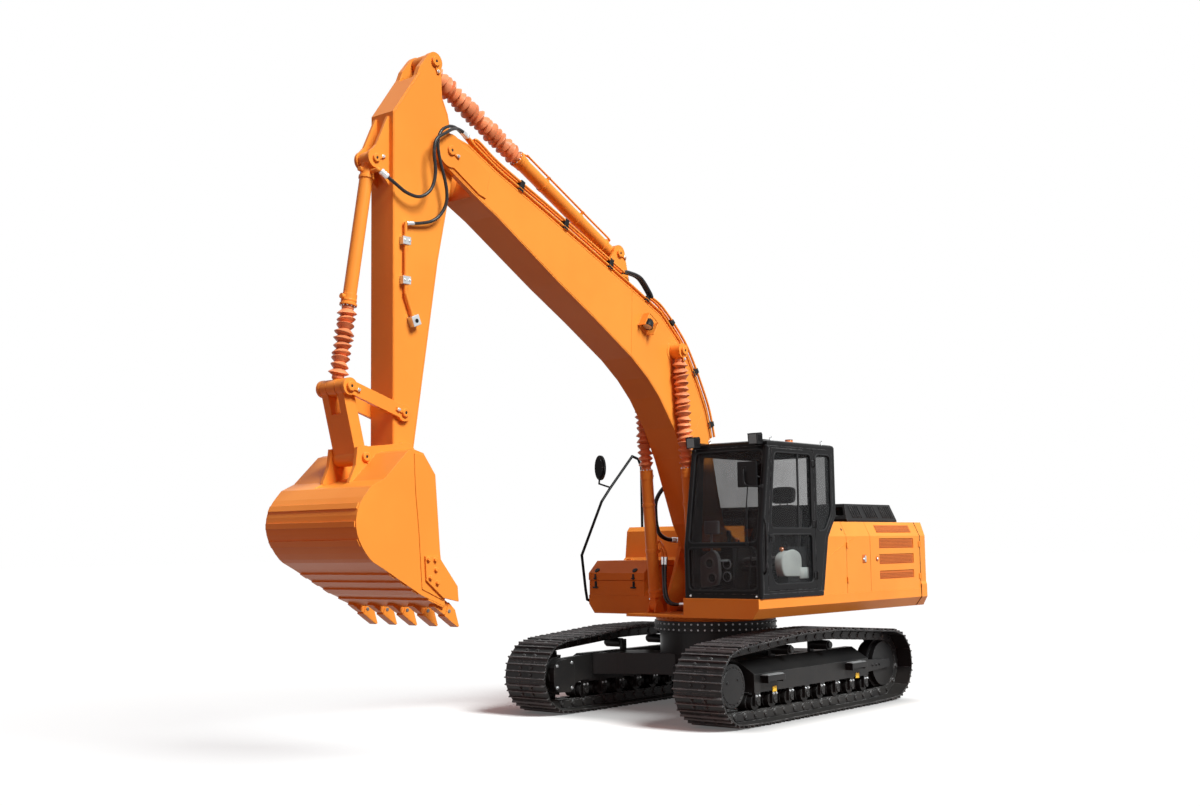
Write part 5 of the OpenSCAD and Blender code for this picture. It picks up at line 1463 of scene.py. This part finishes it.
def make_glands():
    """bolt rings and wiper rings at the mouths of the barrels"""
    for body, cyl, x1, r, ys in (("boom_cylinder", BOOMCYL, 1.572, 0.075, BOOMCYL_YS),
                                 ("arm_cylinder", ARMCYL, 1.720, 0.079, (0.0,)),
                                 ("bucket_cylinder", BUCKETCYL, 1.412, 0.069, (0.0,))):
        p, d = axis_of(cyl)
        s = Stock()
        for y in ys:
            o = p + Vector((0, y, 0))
            bolts(body, ZINC, ring(o + d * x1, d, r - 0.010, 10), d, 0.013)
            # the boom cylinders stand so close to the boom that their rings are thin
            proud, rim = (0.0012, 0.0012) if body == "boom_cylinder" else (0.010, 0.003)
            s.turned([(r + 0.0003, x1 - 0.060), (r + rim, x1 - 0.056), (r + rim, x1 - 0.040),
                      (r + 0.0003, x1 - 0.036)], o, d, 40)
            s.turned([(r + 0.0003, x1 - 0.024), (r + proud, x1 - 0.021), (r + proud, x1 - 0.003),
                      (r + 0.6 * proud, x1 - 0.0005)], o, d, 40)
            s.turned([(r - 0.0068, 0.160), (r + 0.002, 0.164), (r + 0.002, 0.190), (r - 0.0068, 0.194)], o, d, 40)
        s.piece("gland_rings_" + body, ORANGE, body)


make_glands()


def boom_back(i):
    """placement on the boom's back, midway on an edge of its outline: x along the edge and z out of it"""
    a, b = Vector(BOOM_LINE[i]), Vector(BOOM_LINE[i - 1])
    u = (b - a).normalized()
    m = Matrix(((u.x, 0, -u.y), (0, 1, 0), (u.y, 0, u.x))).to_4x4()
    m.translation = xz(a + (b - a) / 2, 0)
    return m


def make_clamps():
    s = Stock()
    for z in (4.310, 4.680):
        s.block((5.012, ARM_H + 0.0005, z - 0.003), (5.108, ARM_H + 0.057, z + 0.073), 0.004)
    d = Vector((-0.394, 0, -0.919))
    m = Matrix((d, (0, 1, 0), (-d.z, 0, d.x))).transposed().to_4x4()
    m.translation = (4.985, 0, 4.040)
    s.block((0.018, ARM_H + 0.0005, -0.047), (0.117, ARM_H + 0.0725, 0.047), 0.004, m)
    s.piece("arm_pipe_clamps", ZINC, "arm_body")
    hole = Stock()
    hole.stud(0.020, -0.001, 0.003, 0.014, 0.005, m @ Vector((0.070, ARM_H + 0.0725, 0)), (0, 1, 0), 24)
    hole.piece("arm_pipe_plug", PLASTIC, "arm_body")
    for z in (4.310, 4.680):
        bolts("arm_body", ZINC, [(5.030, ARM_H + 0.057, z + 0.035), (5.090, ARM_H + 0.057, z + 0.035)],
              (0, 1, 0), 0.020)
    s = Stock()
    for i in (16, 17, 18, 19, 22, 24):
        m = boom_back(i)
        s.block((-0.033, 0.139, 0.0005), (0.033, 0.231, 0.030), 0.004, m)
        s.block((-0.033, 0.139, 0.034), (0.033, 0.231, 0.063), 0.004, m)
        bolts("boom_body", ZINC, [m @ Vector((0, 0.185, 0.063))], m.to_3x3() @ Vector((0, 0, 1)), 0.022)
    for i in (16, 17, 18, 20, 22, 24):
        s.block((-0.030, 0.146, 0.062), (0.030, 0.224, 0.124), 0.004, boom_back(i))
    s.piece("boom_pipe_clamps", PLASTIC, "boom_body")


def make_upper_pipes():
    """second layer of pipes above the clamps, with a hose between its halves"""
    line = inset(BOOM_LINE, -0.102)
    upper, hose = Stock(), Stock()
    gap = [line[17].lerp(line[18], 0.78), line[18].lerp(line[19], 0.62)]
    for y in (0.164, 0.206):
        tip = [(4.190, y + 0.005, 5.850), (4.120, y + 0.002, 5.846)]
        high = [xz(v, y) for v in (*line[15:18], gap[0])]
        low = [xz(v, y) for v in (gap[1], *line[19:25])]
        upper.bent(smooth_line(tip + high, 5), 0.014, 10)
        upper.bent(smooth_line(low, 5), 0.014, 10)
        rise = (gap[0] + gap[1]) / 2 + Vector((-0.030, 0.085))
        hose.bent(smooth_line([high[-1], xz(gap[0] + Vector((-0.080, 0.010)), y), xz(rise, y + 0.012),
                               xz(gap[1] + Vector((0.040, 0.060)), y), low[0]], 6), 0.019, 12)
    upper.piece("upper_boom_pipes", ORANGE, "boom_body", smooth=50)
    hose.piece("upper_boom_hoses", HOSE, "boom_body", smooth=50)


make_clamps()
make_upper_pipes()


def make_bucket_bolts():
    for side in (-1, 1):
        y = side * (BUCKET_H + 0.024)
        spots = ((5.208, 1.790), (5.127, 1.786), (5.118, 1.700), (5.185, 1.632), (5.100, 1.585))
        bolts("bucket_body", ORANGE, [xz(p, y) for p in spots], (0, side, 0), 0.036)
    s = Stock()
    lip = Vector((4.990, 1.375))
    way = (Vector((5.259, 1.480)) - lip).normalized()
    up = Vector((-way.y, way.x))
    for i in range(5):
        y = (BUCKET_H - 0.066) * (2 * i / 4 - 1)
        c = lip - way * 0.085 + up * (-0.015)
        for side in (-1, 1):
            s.stud(0.017, -0.001, 0.004, 0.014, 0.007, xz(c, y + side * 0.047), (0, side, 0), 16)
    s.piece("tooth_pins", IRON, "bucket_body")


make_bucket_bolts()


# Floor and light

SHADE_X, SHADE_Y = 1.55, 1.40
BOUNCE_TINT = (0.17, 0.090, 0.070)
WORLD_TINT, WORLD_LIGHT = (1.0, 0.53, 0.50), 0.17


def floor_finish():
    """white sweep: a matt floor that takes the shadow, with a painted shadow close to the tracks, lifted by its own
    light where the camera sees it
    """
    f = Finish("studio_floor")
    seen = f.seen()
    cloudy = f.blend(f.noise(0.35, 2.0) * 0.03, (0.98, 0.98, 0.98), (0.92, 0.92, 0.93))
    # painted shadow: the ground is darker close to the tracks
    x, y = f.reading(0), f.reading(1)
    dx = (x.most(0 - x) - SHADE_X).most(0.0)
    dy = (y.most(0 - y) - SHADE_Y).most(0.0)
    far = (dx * dx + dy * dy).power(0.5)
    painted_shadow = 1 - f.step(far, 0.0, 0.60)
    cloudy = f.blend(painted_shadow * 0.78, cloudy, (0.28, 0.28, 0.28))
    matt = f.make("ShaderNodeBsdfDiffuse", None, {"Color": f.blend(seen, BOUNCE_TINT, cloudy)}, "BSDF")
    lift = f.make("ShaderNodeEmission", None, {"Color": (1.0, 1.0, 1.0), "Strength": 1.0}, "Emission")
    own_light = seen * (f.step(far, 0.4, 3.2) * 0.72 + 0.10)
    return f.end_with(f.make("ShaderNodeMixShader", None, {0: own_light, 1: matt, 2: lift}))


def make_floor():
    mesh = bpy.data.meshes.new("studio_floor")
    k, z = 160.0, -0.001
    mesh.from_pydata([(-k, -k, z), (k, -k, z), (k, k, z), (-k, k, z)], [], [(0, 1, 2, 3)])
    mesh.materials.append(floor_finish())
    obj = bpy.data.objects.new("studio_floor", mesh)
    scene.collection.objects.link(obj)


def make_world():
    """white where it is seen, a dim warm light where it isn't"""
    f = Finish("studio", world=True)
    white = f.make("ShaderNodeBackground", None, {"Color": (1.0, 1.0, 1.0), "Strength": 1.0})
    light = f.make("ShaderNodeBackground", None, {"Color": WORLD_TINT, "Strength": WORLD_LIGHT})
    scene.world = f.end_with(f.make("ShaderNodeMixShader", None, {0: f.seen(), 1: light, 2: white}))


def make_lamp(name, way, strength, angle, tint):
    data = bpy.data.lights.new(name, "SUN")
    data.energy = strength
    data.angle = math.radians(angle)
    data.color = tint
    obj = bpy.data.objects.new(name, data)
    obj.rotation_mode = "QUATERNION"
    obj.rotation_quaternion = Vector(way).to_track_quat("-Z", "Y")
    scene.collection.objects.link(obj)


make_floor()
make_world()
make_lamp("key", (0.0, -0.71, -0.70), 5.0, 26, (0.94, 1.0, 0.99))
make_lamp("fill", (-0.85, -0.35, -0.40), 0.34, 60, (1.0, 0.36, 0.34))

# Bolts gathered by the pieces above, one mesh for each body and finish
for (body, finish), places in BOLTS.items():
    repeat("bolts_" + body + "_" + finish, BOLT, places, bpy.data.materials[finish], body, BOLT_SPIN)
for shape in SHAPES:
    bpy.data.objects.remove(shape)
